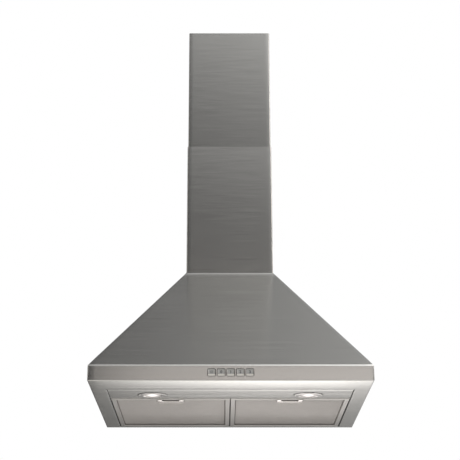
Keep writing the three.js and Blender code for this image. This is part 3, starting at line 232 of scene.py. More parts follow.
def grid_piece(name, points, closed_rows=False, closed_columns=False, caps=(), smooth=40, level=None):
    """A surface through a grid of points, rows by columns, each four neighbours joined by a face.
    Closed rows join the last row to the first, closed columns the last column to the first. Caps
    fill the open ends of rows or columns. The UV map holds the distances along both, in metres."""
    rows, columns = points.shape[:2]
    i = np.arange(rows if closed_rows else rows - 1)[:, None]
    j = np.arange(columns if closed_columns else columns - 1)[None]
    here, right = i * columns + j, i * columns + (j + 1) % columns
    above, across = (i + 1) % rows * columns + j, (i + 1) % rows * columns + (j + 1) % columns
    faces = np.stack([here, right, across, above], -1).reshape(-1, 4).tolist()
    if "columns" in caps:
        faces.append((np.arange(rows) * columns).tolist())
        faces.append((np.arange(rows) * columns + columns - 1).tolist()[::-1])
    if "rows" in caps:
        faces.append(np.arange(columns).tolist()[::-1])
        faces.append((np.arange(columns) + (rows - 1) * columns).tolist())
    mesh = bpy.data.meshes.new(name)
    mesh.from_pydata(points.reshape(-1, 3).tolist(), [], faces)
    along = np.linalg.norm(np.diff(points, axis=1), axis=2).max(0)
    up = np.linalg.norm(np.diff(points, axis=0), axis=2).max(1)
    u = np.concatenate([[0], np.cumsum(along)])[None].repeat(rows, 0)
    v = np.concatenate([[0], np.cumsum(up)])[:, None].repeat(columns, 1)
    uv = np.stack([u, v], -1).reshape(-1, 2)
    if level is not None:
        uv = level(points).reshape(-1, 2)
    corner = np.empty(len(mesh.loops), np.int32)
    mesh.loops.foreach_get("vertex_index", corner)
    layer = mesh.uv_layers.new(name="grain")
    layer.data.foreach_set("uv", uv[corner].ravel())
    finished(mesh, smooth)
    return mesh


def finished(mesh, smooth):
    """Merges doubled points, turns all faces outwards and shades them smooth, but for edges sharper
    than the angle."""
    work = bmesh.new()
    work.from_mesh(mesh)
    bmesh.ops.remove_doubles(work, verts=work.verts, dist=1e-7)
    bmesh.ops.recalc_face_normals(work, faces=work.faces)
    work.to_mesh(mesh)
    work.free()
    mesh.polygons.foreach_set("use_smooth", [True] * len(mesh.polygons))
    mesh.set_sharp_from_angle(angle=math.radians(smooth))


def joined(name, *meshes):
    """One mesh made of several, which are taken up into it."""
    work = bmesh.new()
    for mesh in meshes:
        work.from_mesh(mesh)
    whole = bpy.data.meshes.new(name)
    work.to_mesh(whole)
    work.free()
    return whole


def prism(name, outline, stations, axis="Z", smooth=30):
    """A closed solid on an outline that runs counter-clockwise: each row is the outline drawn in
    by an inset at a station along the axis, and both ends are shut."""
    outline = np.asarray(outline, float)
    ahead = np.roll(outline, -1, 0) - outline
    ahead /= np.linalg.norm(ahead, axis=1)[:, None]
    behind = np.roll(ahead, 1, 0)
    across = np.stack([-(ahead + behind)[:, 1], (ahead + behind)[:, 0]], 1)
    across /= np.linalg.norm(across, axis=1)[:, None]
    inset, place = (np.asarray(stations, float)[:, k][:, None] for k in (0, 1))
    points = stood(outline[:, 0] + inset * across[:, 0], outline[:, 1] + inset * across[:, 1], place, axis)
    return grid_piece(name, points, closed_columns=True, caps=("rows",), smooth=smooth)


def slab(start, end, edge=0.15):
    """The stations of a plate whose rims are broken by a small edge."""
    return [(edge, start), (0, start + edge), (0, end - edge), (edge, end)]


def turned_piece(name, profile, centre, axis="Z", sides=72, closed=False, smooth=35):
    """A solid of revolution: a profile of (radius, place along the axis) turned about an axis
    through the centre. It is either a closed ring, or shut on the axis by radii of 0."""
    turn = np.linspace(0, 2 * np.pi, sides, endpoint=False)[None]
    radius, height = (np.asarray(profile, float)[:, k][:, None] for k in (0, 1))
    points = stood(centre[0] + radius * np.cos(turn), centre[1] + radius * np.sin(turn), height, axis)
    return grid_piece(name, points, closed_rows=closed, closed_columns=True, smooth=smooth)


def punched(mesh, cutters):
    """The mesh with the cutters' solids taken out of it by an exact boolean."""
    target = bpy.data.objects.new("blank", mesh)
    tool = bpy.data.objects.new("punch", joined("punch", *cutters))
    for each in (target, tool):
        bpy.context.scene.collection.objects.link(each)
    cut = target.modifiers.new("punch", "BOOLEAN")
    cut.operation = "DIFFERENCE"
    cut.solver = "EXACT"
    cut.object = tool
    bpy.context.view_layer.update()
    shaped = bpy.data.meshes.new_from_object(
        target.evaluated_get(bpy.context.evaluated_depsgraph_get())
    )
    bpy.data.objects.remove(target)
    bpy.data.objects.remove(tool)
    finished(shaped, 40)
    return shaped


def round_outline(half_u, half_v, radius, steps=5):
    """A rectangle about the origin with its corners rounded by arcs, counter-clockwise."""
    turn = np.radians(np.linspace(0, 90, steps + 1))
    corner = np.stack([half_u - radius + radius * np.cos(turn), half_v - radius + radius * np.sin(turn)], 1)
    flip = np.array([[1, 1], [-1, 1], [-1, -1], [1, -1]])
    order = [corner, corner[::-1], corner, corner[::-1]]
    return np.concatenate([part * f for part, f in zip(order, flip)])


def finish(name, colour, metallic, roughness):
    """Starts a material: its name, tree and shader, with the even values on the shader itself."""
    made = bpy.data.materials.new(name)
    made.use_nodes = True
    nodes = made.node_tree
    nodes.nodes.clear()
    even = {"Base Color": linear(colour), "Metallic": metallic, "Roughness": roughness}
    shader = add_node(nodes, "BsdfPrincipled", even)
    add_node(nodes, "OutputMaterial", links={"Surface": shader.outputs[0]})
    return made, nodes, shader


def varied(nodes, shader, factor, tones=None, gloss=None, depth=None):
    """Lets a pattern's factor carry the finish, as it goes from 0 to 1, from one tone and one
    roughness to another, and raise its surface by a depth in metres."""
    if tones:
        shades = {"data_type": "RGBA", 6: linear(tones[0]), 7: linear(tones[1])}
        shade = add_node(nodes, "Mix", shades, {0: factor})
        nodes.links.new(shade.outputs[2], shader.inputs["Base Color"])
    if gloss:
        rough = add_node(nodes, "MapRange", {"To Min": gloss[0], "To Max": gloss[1]}, {"Value": factor})
        nodes.links.new(rough.outputs[0], shader.inputs["Roughness"])
    if depth:
        bump = add_node(nodes, "Bump", {"Strength": 0.5, "Distance": depth}, {"Height": factor})
        nodes.links.new(bump.outputs[0], shader.inputs["Normal"])


def piece(name, mesh, material, body, slot_name, *nodes_replaced):
    """Puts a mesh into the scene with its finish: it rides on a body, and stands for the CAD nodes that it
    replaces. Its slot name is not used."""
    made = bpy.data.objects.new(name, mesh)
    mesh.materials.clear()
    mesh.materials.append(material)
    bpy.context.scene.collection.objects.link(made)
    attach(made, body)
    if nodes_replaced:
        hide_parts(*nodes_replaced)


# Hot-dip zinc: its crystals, 8 to 20 mm across, turn the light by turns brighter and duller.
zinc, nodes, shader = finish("galvanised_steel_sheet", "#C9CCCB", 1.0, 0.42)
coords = add_node(nodes, "TexCoord").outputs["Object"]
crystals = add_node(nodes, "TexVoronoi", {"Scale": 75.0}, {"Vector": coords})
grey = add_node(nodes, "RGBToBW", links={0: crystals.outputs["Color"]}).outputs[0]
varied(nodes, shader, grey, ("#BBBEBE", "#D3D6D5"), (0.36, 0.50))

half_width = 300.0
canopy_z = 333.0
panel_outline = [
    [-half_width, 1.0], [half_width, 1.0], [half_width, 35.3], [297.0, 35.6], [105.0, canopy_z],
    [80.0, canopy_z], [80.0, 393.0], [-80.0, 393.0], [-80.0, canopy_z], [-105.0, canopy_z],
    [-297.0, 35.6], [-half_width, 35.3],
]
back_sheet = prism("back_sheet", panel_outline, slab(-1.0, 0.0), "Y")
holes = []
for end in (-1, 1):
    keyhole_x, slot_x = end * 110.0, end * 150.0
    head = [[0, -3], [5.5, -3], [5.5, 3], [0, 3]]
    holes.append(turned_piece("head_hole", head, (keyhole_x, hang_height), "Y", 48))
    neck = round_outline(3.0, 6.0, 2.95, 8) + [keyhole_x, hang_height + 6.0]
    holes.append(prism("neck_hole", neck, [(0, -3.2), (0, 3.2)], "Y"))
    low_slot = round_outline(7.0, 2.75, 2.7, 8) + [slot_x, 62.0]
    holes.append(prism("slot_hole", low_slot, [(0, -3), (0, 3)], "Y"))
for hole in holes:
    back_sheet = punched(back_sheet, [hole])
piece("back_sheet", back_sheet, zinc, "hood", "galvanised", "back_panel")

# ------------------------------------------------------------------ canopy
# The pyramid: one blank of 1 mm stainless sheet, ground with a 320 belt along the sheet, folded
# at the hips, with its top turned in to carry the chimney. The grain runs level on each side.
def arc_line(centre, radius, start, end, steps=6):
    """Points on an arc of a section, from one angle to another in degrees."""
    turn = np.radians(np.linspace(start, end, steps + 1))
    return np.stack([centre[0] + radius * np.cos(turn), centre[1] + radius * np.sin(turn)], 1)


def carried_round(half_width, front, rear, dx, dy, z, corner, steps=(10, 8, 40)):
    """Carries a folded section round three sides of the hood. Row i is the section's point: the
    plan moved in by dx at the sides and by dy at the front, at height z. The columns run from the
    wall along the left side, round the corner's arc, across the front, and back on the right."""
    dx, dy, z = (np.asarray(v, float)[:, None] for v in (dx, dy, z))
    radius = np.maximum(corner - np.minimum(dx, dy), 0.3)
    side_x, front_y = half_width - dx, front + dy
    share = np.linspace(0, 1, steps[0] + 1)[None, :-1]
    side = [-side_x + 0 * share, rear + (front_y + radius - rear) * share]
    turn = np.radians(np.linspace(0, 90, steps[1] + 1))[None]
    arc = [-side_x + radius - radius * np.cos(turn), front_y + radius - radius * np.sin(turn)]
    share = np.linspace(0, 1, steps[2] + 1)[None, 1:-1]
    across = [(2 * share - 1) * (side_x - radius), front_y + 0 * share]
    x = np.concatenate([side[0], arc[0], across[0], -arc[0][:, ::-1], -side[0][:, ::-1]], 1)
    y = np.concatenate([side[1], arc[1], across[1], arc[1][:, ::-1], side[1][:, ::-1]], 1)
    return placed(np.stack([x, y, z + 0 * x], -1))


def brushed_steel(name, tone, deep, streak=(3, 200), gloss=(0.18, 0.26), roll=None):
    """Stainless sheet ground along its length: level scratches 0.5 mm apart and some 80 mm long,
    and broader streaks, as many to the metre along and across as `streak` says, which are coarser
    than real so that they show from afar. `roll` bends the sheet in its bump alone: an object axis,
    the two places on it where a parabola runs from one share to another, and its depth in metres."""
    made, nodes, shader = finish(name, tone, 1.0, 0.2)
    shader.inputs["Anisotropic"].default_value = 0.8
    shader.inputs["Anisotropic Rotation"].default_value = 0.25
    grain = add_node(nodes, "UVMap", {"uv_map": "grain"}).outputs[0]
    tangent = add_node(nodes, "Tangent", {"direction_type": "UV_MAP", "uv_map": "grain"})
    nodes.links.new(tangent.outputs[0], shader.inputs["Tangent"])
    fine = add_node(nodes, "Mapping", {"Scale": (12, 2000, 1)}, {"Vector": grain})
    scratches = add_node(
        nodes, "TexNoise", {"Scale": 1.0, "Detail": 2.0, "Roughness": 0.6}, {"Vector": fine.outputs[0]}
    )
    broad = add_node(nodes, "Mapping", {"Scale": (*streak, 1)}, {"Vector": grain})
    streaks = add_node(
        nodes, "TexNoise", {"Scale": 1.0, "Detail": 3.0, "Roughness": 0.5}, {"Vector": broad.outputs[0]}
    )
    both = add_node(
        nodes, "Mix", {"data_type": "FLOAT", 0: 0.5}, {2: scratches.outputs[0], 3: streaks.outputs[0]}
    ).outputs[0]
    strong = add_node(nodes, "MapRange", {"From Min": 0.3, "From Max": 0.7}, {"Value": both}).outputs[0]
    varied(nodes, shader, strong, (deep, tone), gloss)
    scratch_depth = {"operation": "MULTIPLY", 1: 0.000003}
    ripple = add_node(nodes, "Math", scratch_depth, {0: scratches.outputs[0]}).outputs[0]
    if roll:
        axis, start, end, share_start, share_end, depth = roll
        coords = add_node(nodes, "TexCoord").outputs["Object"]
        place = add_node(nodes, "SeparateXYZ", links={0: coords}).outputs[axis]
        share = add_node(
            nodes, "MapRange",
            {"From Min": start, "From Max": end, "To Min": share_start, "To Max": share_end},
            {"Value": place},
        ).outputs[0]
        curve = add_node(nodes, "Math", {"operation": "POWER", 1: 2.0}, {0: share}).outputs[0]
        bow_depth = {"operation": "MULTIPLY_ADD", 1: -depth}
        ripple = add_node(nodes, "Math", bow_depth, {0: curve, 2: ripple}).outputs[0]
    bump = add_node(nodes, "Bump", {"Strength": 1.0, "Distance": 1.0}, {"Height": ripple})
    nodes.links.new(bump.outputs[0], shader.inputs["Normal"])
    return made


stainless = brushed_steel("stainless_sheet_belt_ground", "#B9B8B5", "#ADACA9")

front_y, rear_y = -500.0, -1.3
top_half, top_front = 105.0, -201.5
slope_x = 297.0 - top_half
slope_y = -497.0 - top_front

# Section as (share of the way up the slope, inset from the slope's face, height).
foot = arc_line((0.9, 0.9), 0.9, -90, -180, 5)
climb = np.linspace(0, 1, 25)[1:-1]
line_share = np.concatenate([np.zeros(6), climb, np.ones(6), [1, 1]])
top_bend = arc_line((2.4, -2.4), 2.4, 180, 100, 5)
line_inset = np.concatenate([foot[:, 0], 0 * climb, top_bend[:, 0], [8, 27]])
line_z = np.concatenate(
    [36.0 + foot[:, 1], 36.9 + (330.6 - 36.9) * climb, 333 + top_bend[:, 1], [333, 333]]
)
inner_share = line_share[::-1].copy()
inner_inset = np.concatenate([[27, 8], 0 * top_bend[:, 0] + 3.0, 0 * climb + 1.4, 0 * foot[:, 0] + 1.9])
inner_z = np.concatenate(
    [[332, 332], 0 * top_bend[:, 0] + 331.6, 36.9 + (330.6 - 36.9) * climb[::-1], 0 * foot[:, 0] + 36.6]
)
share = np.concatenate([line_share, inner_share])
inset = np.concatenate([line_inset, inner_inset])
z = np.concatenate([line_z, inner_z])
dx = 3.0 + slope_x * share + inset
dy = 3.0 - slope_y * share + inset
shell = grid_piece(
    "canopy_sheet", carried_round(half_width, front_y, rear_y, dx, dy, z, 4.5),
    closed_rows=True, caps=("columns",),
)
inside = 101.1
rise = np.array([332.0, 344.4, 345.0, 345.0, 344.4, 332.0])
depth = np.array([0.0, 0.0, 0.3, 0.7, 1.0, 1.0])
upstand = grid_piece(
    "canopy_upstand",
    carried_round(inside, -198.7, -15.0, depth, depth, rise, 2.0, (4, 4, 6)),
    closed_rows=True, caps=("columns",),
)
ledge = [[-78, -27], [78, -27], [78, -1.3], [-78, -1.3]]
rear_ledge = prism("canopy_ledge", ledge, [(0, 332.0), (0, 333.0)])
piece(
    "canopy", joined("canopy", shell, upstand, rear_ledge), stainless, "hood", "brushed_steel",
    "canopy_shell",
)

# ------------------------------------------------------------------ band and rim
# The low band and the wide rim below it are one folded sheet of the same steel. Its rear strip
# closes the rim along the wall, and five square openings are punched for the buttons.
band_height = 35.3


def both_faces(line, thickness):
    """A sheet's closed section: its outer line, and back along the line moved by the thickness to
    the left of the way it runs."""
    step = np.gradient(line, axis=0)
    normal = np.stack([-step[:, 1], step[:, 0]], 1) / np.linalg.norm(step, axis=1)[:, None]
    return np.concatenate([line, (line + thickness * normal)[::-1]])


def rim_grain(points):
    """UV in metres: round the band the distance along it and the height, and on the rim's underside
    the plan itself, because the belt runs across the whole of it in one direction."""
    x, y, height = points[..., 0], points[..., 1], points[..., 2] + hang_height / 1000
    step = np.linalg.norm(np.diff(points[..., :2], axis=1), axis=2)
    round_it = np.concatenate([0 * step[:, :1], np.cumsum(step, 1)], 1)
    round_it = round_it - round_it[:, -1:] / 2
    below = height < 0.0025
    return np.stack([np.where(below, x, round_it), np.where(below, y, -0.5 + 0.002 - height)], -1)


outer = np.concatenate(
    [
        [[6.0, 35.3], [4.0, 35.3]],
        arc_line((1.90, 34.1), 1.2, 90, 163, 8),
        arc_line((4.0, 31.0), 4.0, 163, 180, 4),
        [[0.0, 24.0], [0.0, 13.0]],
        arc_line((2.2, 2.2), 2.2, 180, 270, 8),
        [[6.0, 0.0], [15.0, 0.0], [27.0, 0.0]],
        arc_line((32.8, 1.2), 1.2, 270, 360, 6),
        [[34.0, 4.0], [34.0, 8.0]],
    ]
)
section = both_faces(outer, 1.0)
reach_y = np.interp(section[:, 0], [-5, 6, 31.0, 34.0, 40], [-5, 6, 84.0, 87.0, 93])
sheet = grid_piece(
    "band_sheet",
    carried_round(half_width, front_y, rear_y, section[:, 0], reach_y, section[:, 1], 2.6),
    closed_rows=True, caps=("columns",), level=rim_grain,
)
button_pitch, button_z = 20.0, band_height / 2
hole = round_outline(9.0, 8.6, 3.4)
punches = []
for index in range(5):
    opening = hole + [(index - 2) * button_pitch, button_z]
    punches.append(prism("punch", opening, [(0, -504.0), (0, -496.0)], "Y"))
sheet = punched(sheet, punches)
strip = round_outline(6.1, 0.5, 0.45, 3) + [-7.4, 0.5]
rear_strip = prism("rim_rear", strip, [(0, x) for x in np.linspace(-266, 266, 30)], "X")
# The bump lets the rim rise softly towards its front fold, by 3 mm over 87 mm.
apron_steel = brushed_steel(
    "stainless_apron_sheet", "#BCBBB8", "#B0AFAC", roll=("Y", -0.5, -0.413, 1, 0, 0.003)
)
piece("apron", joined("apron", sheet, rear_strip), apron_steel, "hood", "brushed_steel", "apron_band")

# ------------------------------------------------------------------ lamp panel
# A separate folded strip of the same sheet, set a little above the rim. It carries both lamps, and
# the noses of the filters' latches snap into its rear upturn.
panel_front, panel_rear, panel_z = -412.7, -320.0, 1.5
panel_line = np.concatenate(
    [
        [[panel_front, 9.5], [panel_front, 4.0]],
        arc_line((panel_front + 1.2, panel_z + 1.2), 1.2, 180, 270, 5),
        [[-390.0, panel_z], [-366.0, panel_z], [-342.0, panel_z]],
        arc_line((panel_rear - 1.2, panel_z + 1.2), 1.2, 270, 360, 5),
        [[panel_rear, 6.0], [panel_rear, 13.5]],
    ]
)
panel_section = both_faces(panel_line, 1.0)
panel_x = np.linspace(-264.8, 264.8, 61)
panel_rows = np.stack(
    [np.stack([0 * panel_section[:, 0] + x, panel_section[:, 0], panel_section[:, 1]], 1) for x in panel_x], 1
)
panel = grid_piece("lamp_strip", placed(panel_rows), closed_rows=True, caps=("columns",))
lamp_x, lamp_y = 170.5, -358.0
ear_reach = 28.5
latch_x = 132.5
nose_hole = np.array([[-8.5, 4.85], [8.5, 4.85], [8.5, 7.25], [-8.5, 7.25]])
punches = []
for end in (-1, 1):
    eye = [[0, -3], [21.2, -3], [21.2, 6], [0, 6]]
    punches.append(turned_piece("punch", eye, (end * lamp_x, lamp_y), "Z", 48))
    punches.append(prism("punch", nose_hole + [end * latch_x, 0], [(0, -325.0), (0, -317.0)], "Y"))
panel = punched(panel, punches)
piece("lamp_strip", panel, stainless, "hood", "brushed_steel", "lamp_panel")

# ------------------------------------------------------------------ lamps
# Each lamp is a bright pressed ring with an ear at both tips for its screws, round a frosted
# glass that the capsule bulb behind it lights up.


def mottled(name, colour, metallic, roughness, blotches, detail, tones, gloss=None, depth=None):
    """A finish with no direction of its own: soft blotches, so many to the metre, vary it."""
    made, nodes, shader = finish(name, colour, metallic, roughness)
    coords = add_node(nodes, "TexCoord").outputs["Object"]
    noise = add_node(nodes, "TexNoise", {"Scale": blotches, "Detail": detail}, {"Vector": coords}).outputs[0]
    varied(nodes, shader, noise, tones, gloss, depth)
    return made


# Satin chrome on pressed steel; its outer edge, where the sheet turns in, is painted darker as painted shade.
chrome, nodes, shader = finish("satin_plated_ring", "#A3A09D", 1.0, 0.26)
coords = add_node(nodes, "TexCoord").outputs["Object"]
wear = add_node(nodes, "TexNoise", {"Scale": 220.0, "Detail": 3.0}, {"Vector": coords}).outputs[0]
varied(nodes, shader, wear, gloss=(0.22, 0.34))
over = add_node(nodes, "UVMap", {"uv_map": "grain"}).outputs[0]
reach = add_node(nodes, "SeparateXYZ", links={0: over}).outputs["Y"]
# Painted shade: past 0.9 of the way out the ring's colour is dark grey, fading in from 0.8.
clear_of_edge_shade = add_node(nodes, "MapRange", {"From Min": 0.90, "From Max": 0.80}, {"Value": reach}).outputs[0]
plated = add_node(
    nodes, "Mix", {"data_type": "RGBA", 6: linear("#A5A2A0"), 7: linear("#B9B6B4")}, {0: wear}
)
painted_edge_shade = add_node(
    nodes, "Mix", {"data_type": "RGBA", 6: linear("#4E4C4B")}, {0: clear_of_edge_shade, 7: plated.outputs[2]}
)
nodes.links.new(painted_edge_shade.outputs[2], shader.inputs["Base Color"])

lens_radius = 19.0
# Sand-blasted borosilicate glass, lit from behind: brightest in the middle, softer at its edge.
frosted, nodes, shader = finish("frosted_lamp_glass", "#F3F0E8", 0.0, 0.35)
coords = add_node(nodes, "TexCoord").outputs["Object"]
frost = add_node(nodes, "TexNoise", {"Scale": 900.0, "Detail": 2.0}, {"Vector": coords}).outputs[0]
varied(nodes, shader, frost, ("#A29B9A", "#B5AEAC"), (0.28, 0.42))
across = add_node(nodes, "SeparateXYZ", links={0: coords})
reach = add_node(nodes, "Math", {"operation": "ABSOLUTE"}, {0: across.outputs["X"]}).outputs[0]
place = add_node(nodes, "CombineXYZ", links={"X": reach, "Y": across.outputs["Y"]}).outputs[0]
bulb_place = (lamp_x / 1000, lamp_y / 1000, 0)
span = add_node(nodes, "VectorMath", {"operation": "DISTANCE", 1: bulb_place}, {0: place})
outwards = add_node(nodes, "MapRange", {"From Max": lens_radius / 1000}, {"Value": span.outputs["Value"]})
glow_stops = [(0.0, 1.1), (0.35, 0.95), (0.6, 0.42), (0.82, 0.12), (1.0, 0.05)]
glow = add_node(nodes, "ValToRGB", {"stops": glow_stops}, {0: outwards.outputs[0]})
glow.color_ramp.interpolation = "EASE"
nodes.links.new(glow.outputs[0], shader.inputs["Emission Strength"])
shader.inputs["Emission Color"].default_value = linear("#FFFCFA")

screw_steel = mottled(
    "zinc_plated_screw_steel", "#B9B9B6", 1.0, 0.28, 600.0, 3.0, ("#A8A8A5", "#C6C6C2"), (0.2, 0.36)
)

ring_top = panel_z - 0.3
# The ring's section, from the glass outwards, as (share of the way to the rim, height).
ring_section = np.array(
    [
        [0.0, ring_top], [0.0, ring_top - 0.35], [0.06, ring_top - 0.8], [0.16, ring_top - 1.35],
        [0.26, ring_top - 1.55], [0.38, ring_top - 1.5], [0.6, ring_top - 1.25], [0.82, ring_top - 1.0],
        [0.93, ring_top - 0.8], [0.985, ring_top - 0.5], [1.0, ring_top - 0.15], [0.985, ring_top],
    ]
)


def eye_ring(x, y, long_half, short_half, inner, section, sides=96):
    """A ring that is round inside and an ellipse outside: at each angle the radius runs from the
    round opening to the ellipse by the section's share, at the section's height. Its UV's second
    value is that share."""
    turn = np.linspace(0, 2 * np.pi, sides, endpoint=False)[None]
    rim = long_half * short_half / np.hypot(short_half * np.cos(turn), long_half * np.sin(turn))
    radius = inner + (rim - inner) * section[:, 0][:, None]
    height = section[:, 1][:, None] + 0 * turn
    points = np.stack([x + radius * np.cos(turn), y + radius * np.sin(turn), height], -1)
    share = np.stack([0 * radius + turn, 0 * radius + section[:, 0][:, None]], -1)
    return grid_piece(
        "eye_ring", placed(points), closed_rows=True, closed_columns=True, smooth=50, level=lambda _: share
    )


for side_name, x in (("left", -lamp_x), ("right", lamp_x)):
    ring = eye_ring(x, lamp_y, 33.0, 22.4, lens_radius + 0.2, ring_section)
    collar_line = [
        [19.2, ring_top - 0.1], [20.9, ring_top - 0.1], [20.9, ring_top + 2.4], [19.6, ring_top + 2.4],
    ]
    collar = turned_piece("collar", collar_line, (x, lamp_y), closed=True, smooth=50)
    holes = []
    for end in (-1, 1):
        bore = [[0, -8], [2.9, -8], [2.9, ring_top - 0.8], [1.95, ring_top - 0.8], [1.95, 6], [0, 6]]
        holes.append(turned_piece("bore", bore, (x + end * ear_reach, lamp_y), "Z", 24))
    piece(
        f"lamp_ring_{side_name}", joined("ring", punched(ring, holes), collar), chrome, "hood", "chrome",
        f"lamp_bezel_{side_name}",
    )
    disc = [[0, ring_top + 2.7], [19.5, ring_top + 2.7], [19.5, ring_top + 0.3], [18.95, ring_top + 0.3]]
    turns = np.radians(np.arange(0, 91, 10))
    bulge = [[18.8 * math.cos(a), ring_top - 0.25 - 0.95 * math.sin(a)] for a in turns]
    lens = turned_piece("lamp_lens", disc + bulge[:-1] + [[0, ring_top - 1.2]], (x, lamp_y), "Z", 64)
    piece(f"lamp_lens_{side_name}", lens, frosted, "hood", "lamp_glass", f"lamp_glass_{side_name}")
    for number, end in ((1, -1), (2, 1)):
        head = ring_top - 0.8 - 0.3
        turns = np.radians(np.arange(0, 90, 15))
        dome = [[2.8 * math.cos(a), head - 0.35 - 0.85 * math.sin(a)] for a in turns]
        shank = [[0, head + 9], [1.3, head + 9], [1.5, head + 8.4], [1.5, head], [2.8, head]]
        spot = (x + end * ear_reach, lamp_y)
        screw = turned_piece("screw", shank + dome + [[0, head - 1.2]], spot, "Z", 32)
        # The two slots of the cross overlap, so each is cut on its own.
        for half_u, half_v in ((1.6, 0.32), (0.32, 1.6)):
            cross = round_outline(half_u, half_v, 0.2, 2) + spot
            screw = punched(screw, [prism("punch", cross, [(0, head - 3.0), (0, head - 0.45)])])
        name = f"lamp_screw_{side_name}_{number}"
        piece(f"{name}_head", screw, screw_steel, "hood", "screw_steel", name)

# ------------------------------------------------------------------ lamp cups and bulbs
# Over each lamp a drawn zinc-plated cup keeps the bulb's heat off the filters; the same two screws
# hold it. Its neck grips the ceramic foot of a capsule bulb.
cup_line = np.concatenate(
    [
        [[25.0, 2.8], [32.0, 2.8], [32.0, 4.0], [27.0, 4.0]],
        arc_line((27.0, 4.8), 0.8, 270, 180, 3),
        [[26.2, 10.0], [26.2, 30.0]],
        arc_line((18.2, 36.8), 8.0, 0, 90, 8),
        [[14.0, 44.8]],
        arc_line((14.0, 45.6), 0.8, 270, 180, 3),
        [[13.2, 54.4], [12.9, 54.8], [12.2, 54.8], [12.0, 54.4], [12.0, 43.6]],
        arc_line((18.2, 36.8), 6.8, 90, 0, 8),
        [[25.0, 30.0]],
    ]
)
foot = [[0, 54.8], [11.4, 54.8], [11.7, 54.4], [11.7, 46.2], [11.3, 45.6], [8.0, 41.8]]
capsule = np.concatenate([[[6.0, 41.8], [6.0, 21.0]], arc_line((0.0, 20.8), 6.0, 0, -90, 10)])
for side_name, x in (("left", -lamp_x), ("right", lamp_x)):
    cup = turned_piece("cup", cup_line, (x, lamp_y), closed=True)
    holes = [
        turned_piece("hole", [[0, 1], [1.95, 1], [1.95, 6], [0, 6]], (x + end * ear_reach, lamp_y), "Z", 24)
        for end in (-1, 1)
    ]
    piece(f"lamp_hood_{side_name}", punched(cup, holes), zinc, "hood", "galvanised", f"lamp_cup_{side_name}")
    bulb = turned_piece("bulb", np.concatenate([foot, capsule]), (x, lamp_y), "Z", 40)
    piece(f"capsule_{side_name}", bulb, frosted, "hood", "lamp_glass", f"lamp_bulb_{side_name}")

# ------------------------------------------------------------------ buttons
# Five push caps, injection-moulded and lacquered silver grey. Each face is scooped for the finger
# above a bevelled ridge, and carries a small dark printed mark: a lamp, 0, 1, 2 and 3.
lacquer, nodes, shader = finish("silver_lacquered_plastic", "#8E8D8B", 0.8, 0.30)
coords = add_node(nodes, "TexCoord").outputs["Object"]
flake = add_node(nodes, "TexNoise", {"Scale": 2600.0, "Detail": 2.0}, {"Vector": coords}).outputs[0]
varied(nodes, shader, flake, gloss=(0.24, 0.34))
# Painted highlight: the lacquer is painted brighter along the lower ridge, from 3.2 to 4.2 mm below the
# middle, where the bevel catches the light.
level = add_node(nodes, "SeparateXYZ", links={0: coords}).outputs["Z"]
painted_highlight = add_node(nodes, "MapRange", {"From Min": -0.2355, "From Max": -0.2365}, {"Value": level}).outputs[0]
lacquered = add_node(
    nodes, "Mix", {"data_type": "RGBA", 6: linear("#90908F"), 7: linear("#A8A8A5")}, {0: flake}
)
highlit_lacquer = add_node(
    nodes, "Mix", {"data_type": "RGBA", 7: linear("#C6C4C0")}, {0: painted_highlight, 6: lacquered.outputs[2]}
)
nodes.links.new(highlit_lacquer.outputs[2], shader.inputs["Base Color"])

ink = mottled("dark_printed_ink", "#2A2B2D", 0.0, 0.5, 3000.0, 1.0, ("#242527", "#34363A"))

cap_half_x, cap_half_z, cap_corner = 7.7, 7.3, 2.2
cap_face, cap_back = -501.6, -490.6
mark_face, mark_z = cap_face - 0.03, 0.6


def cap_height(x, z):
    """How far a point of a button's face lies behind its foremost plane: a scoop that deepens
    steadily from the ridge to near the top edge, where it turns back up in a short curve, and a
    bevel along the lower edge."""
    slope = np.clip((z + 3.2) * 0.15, 0, None)
    top = np.clip((z - 5.0) / 1.7, 0, 1)
    side = np.clip((cap_half_x - 0.7 - np.abs(x)) / 1.0, 0, 1)
    scoop = slope * (1 - top**2) * np.sqrt(side)
    bevel = np.maximum(-(z + cap_half_z) + 3.0, 0) * 0.62
    return scoop + bevel


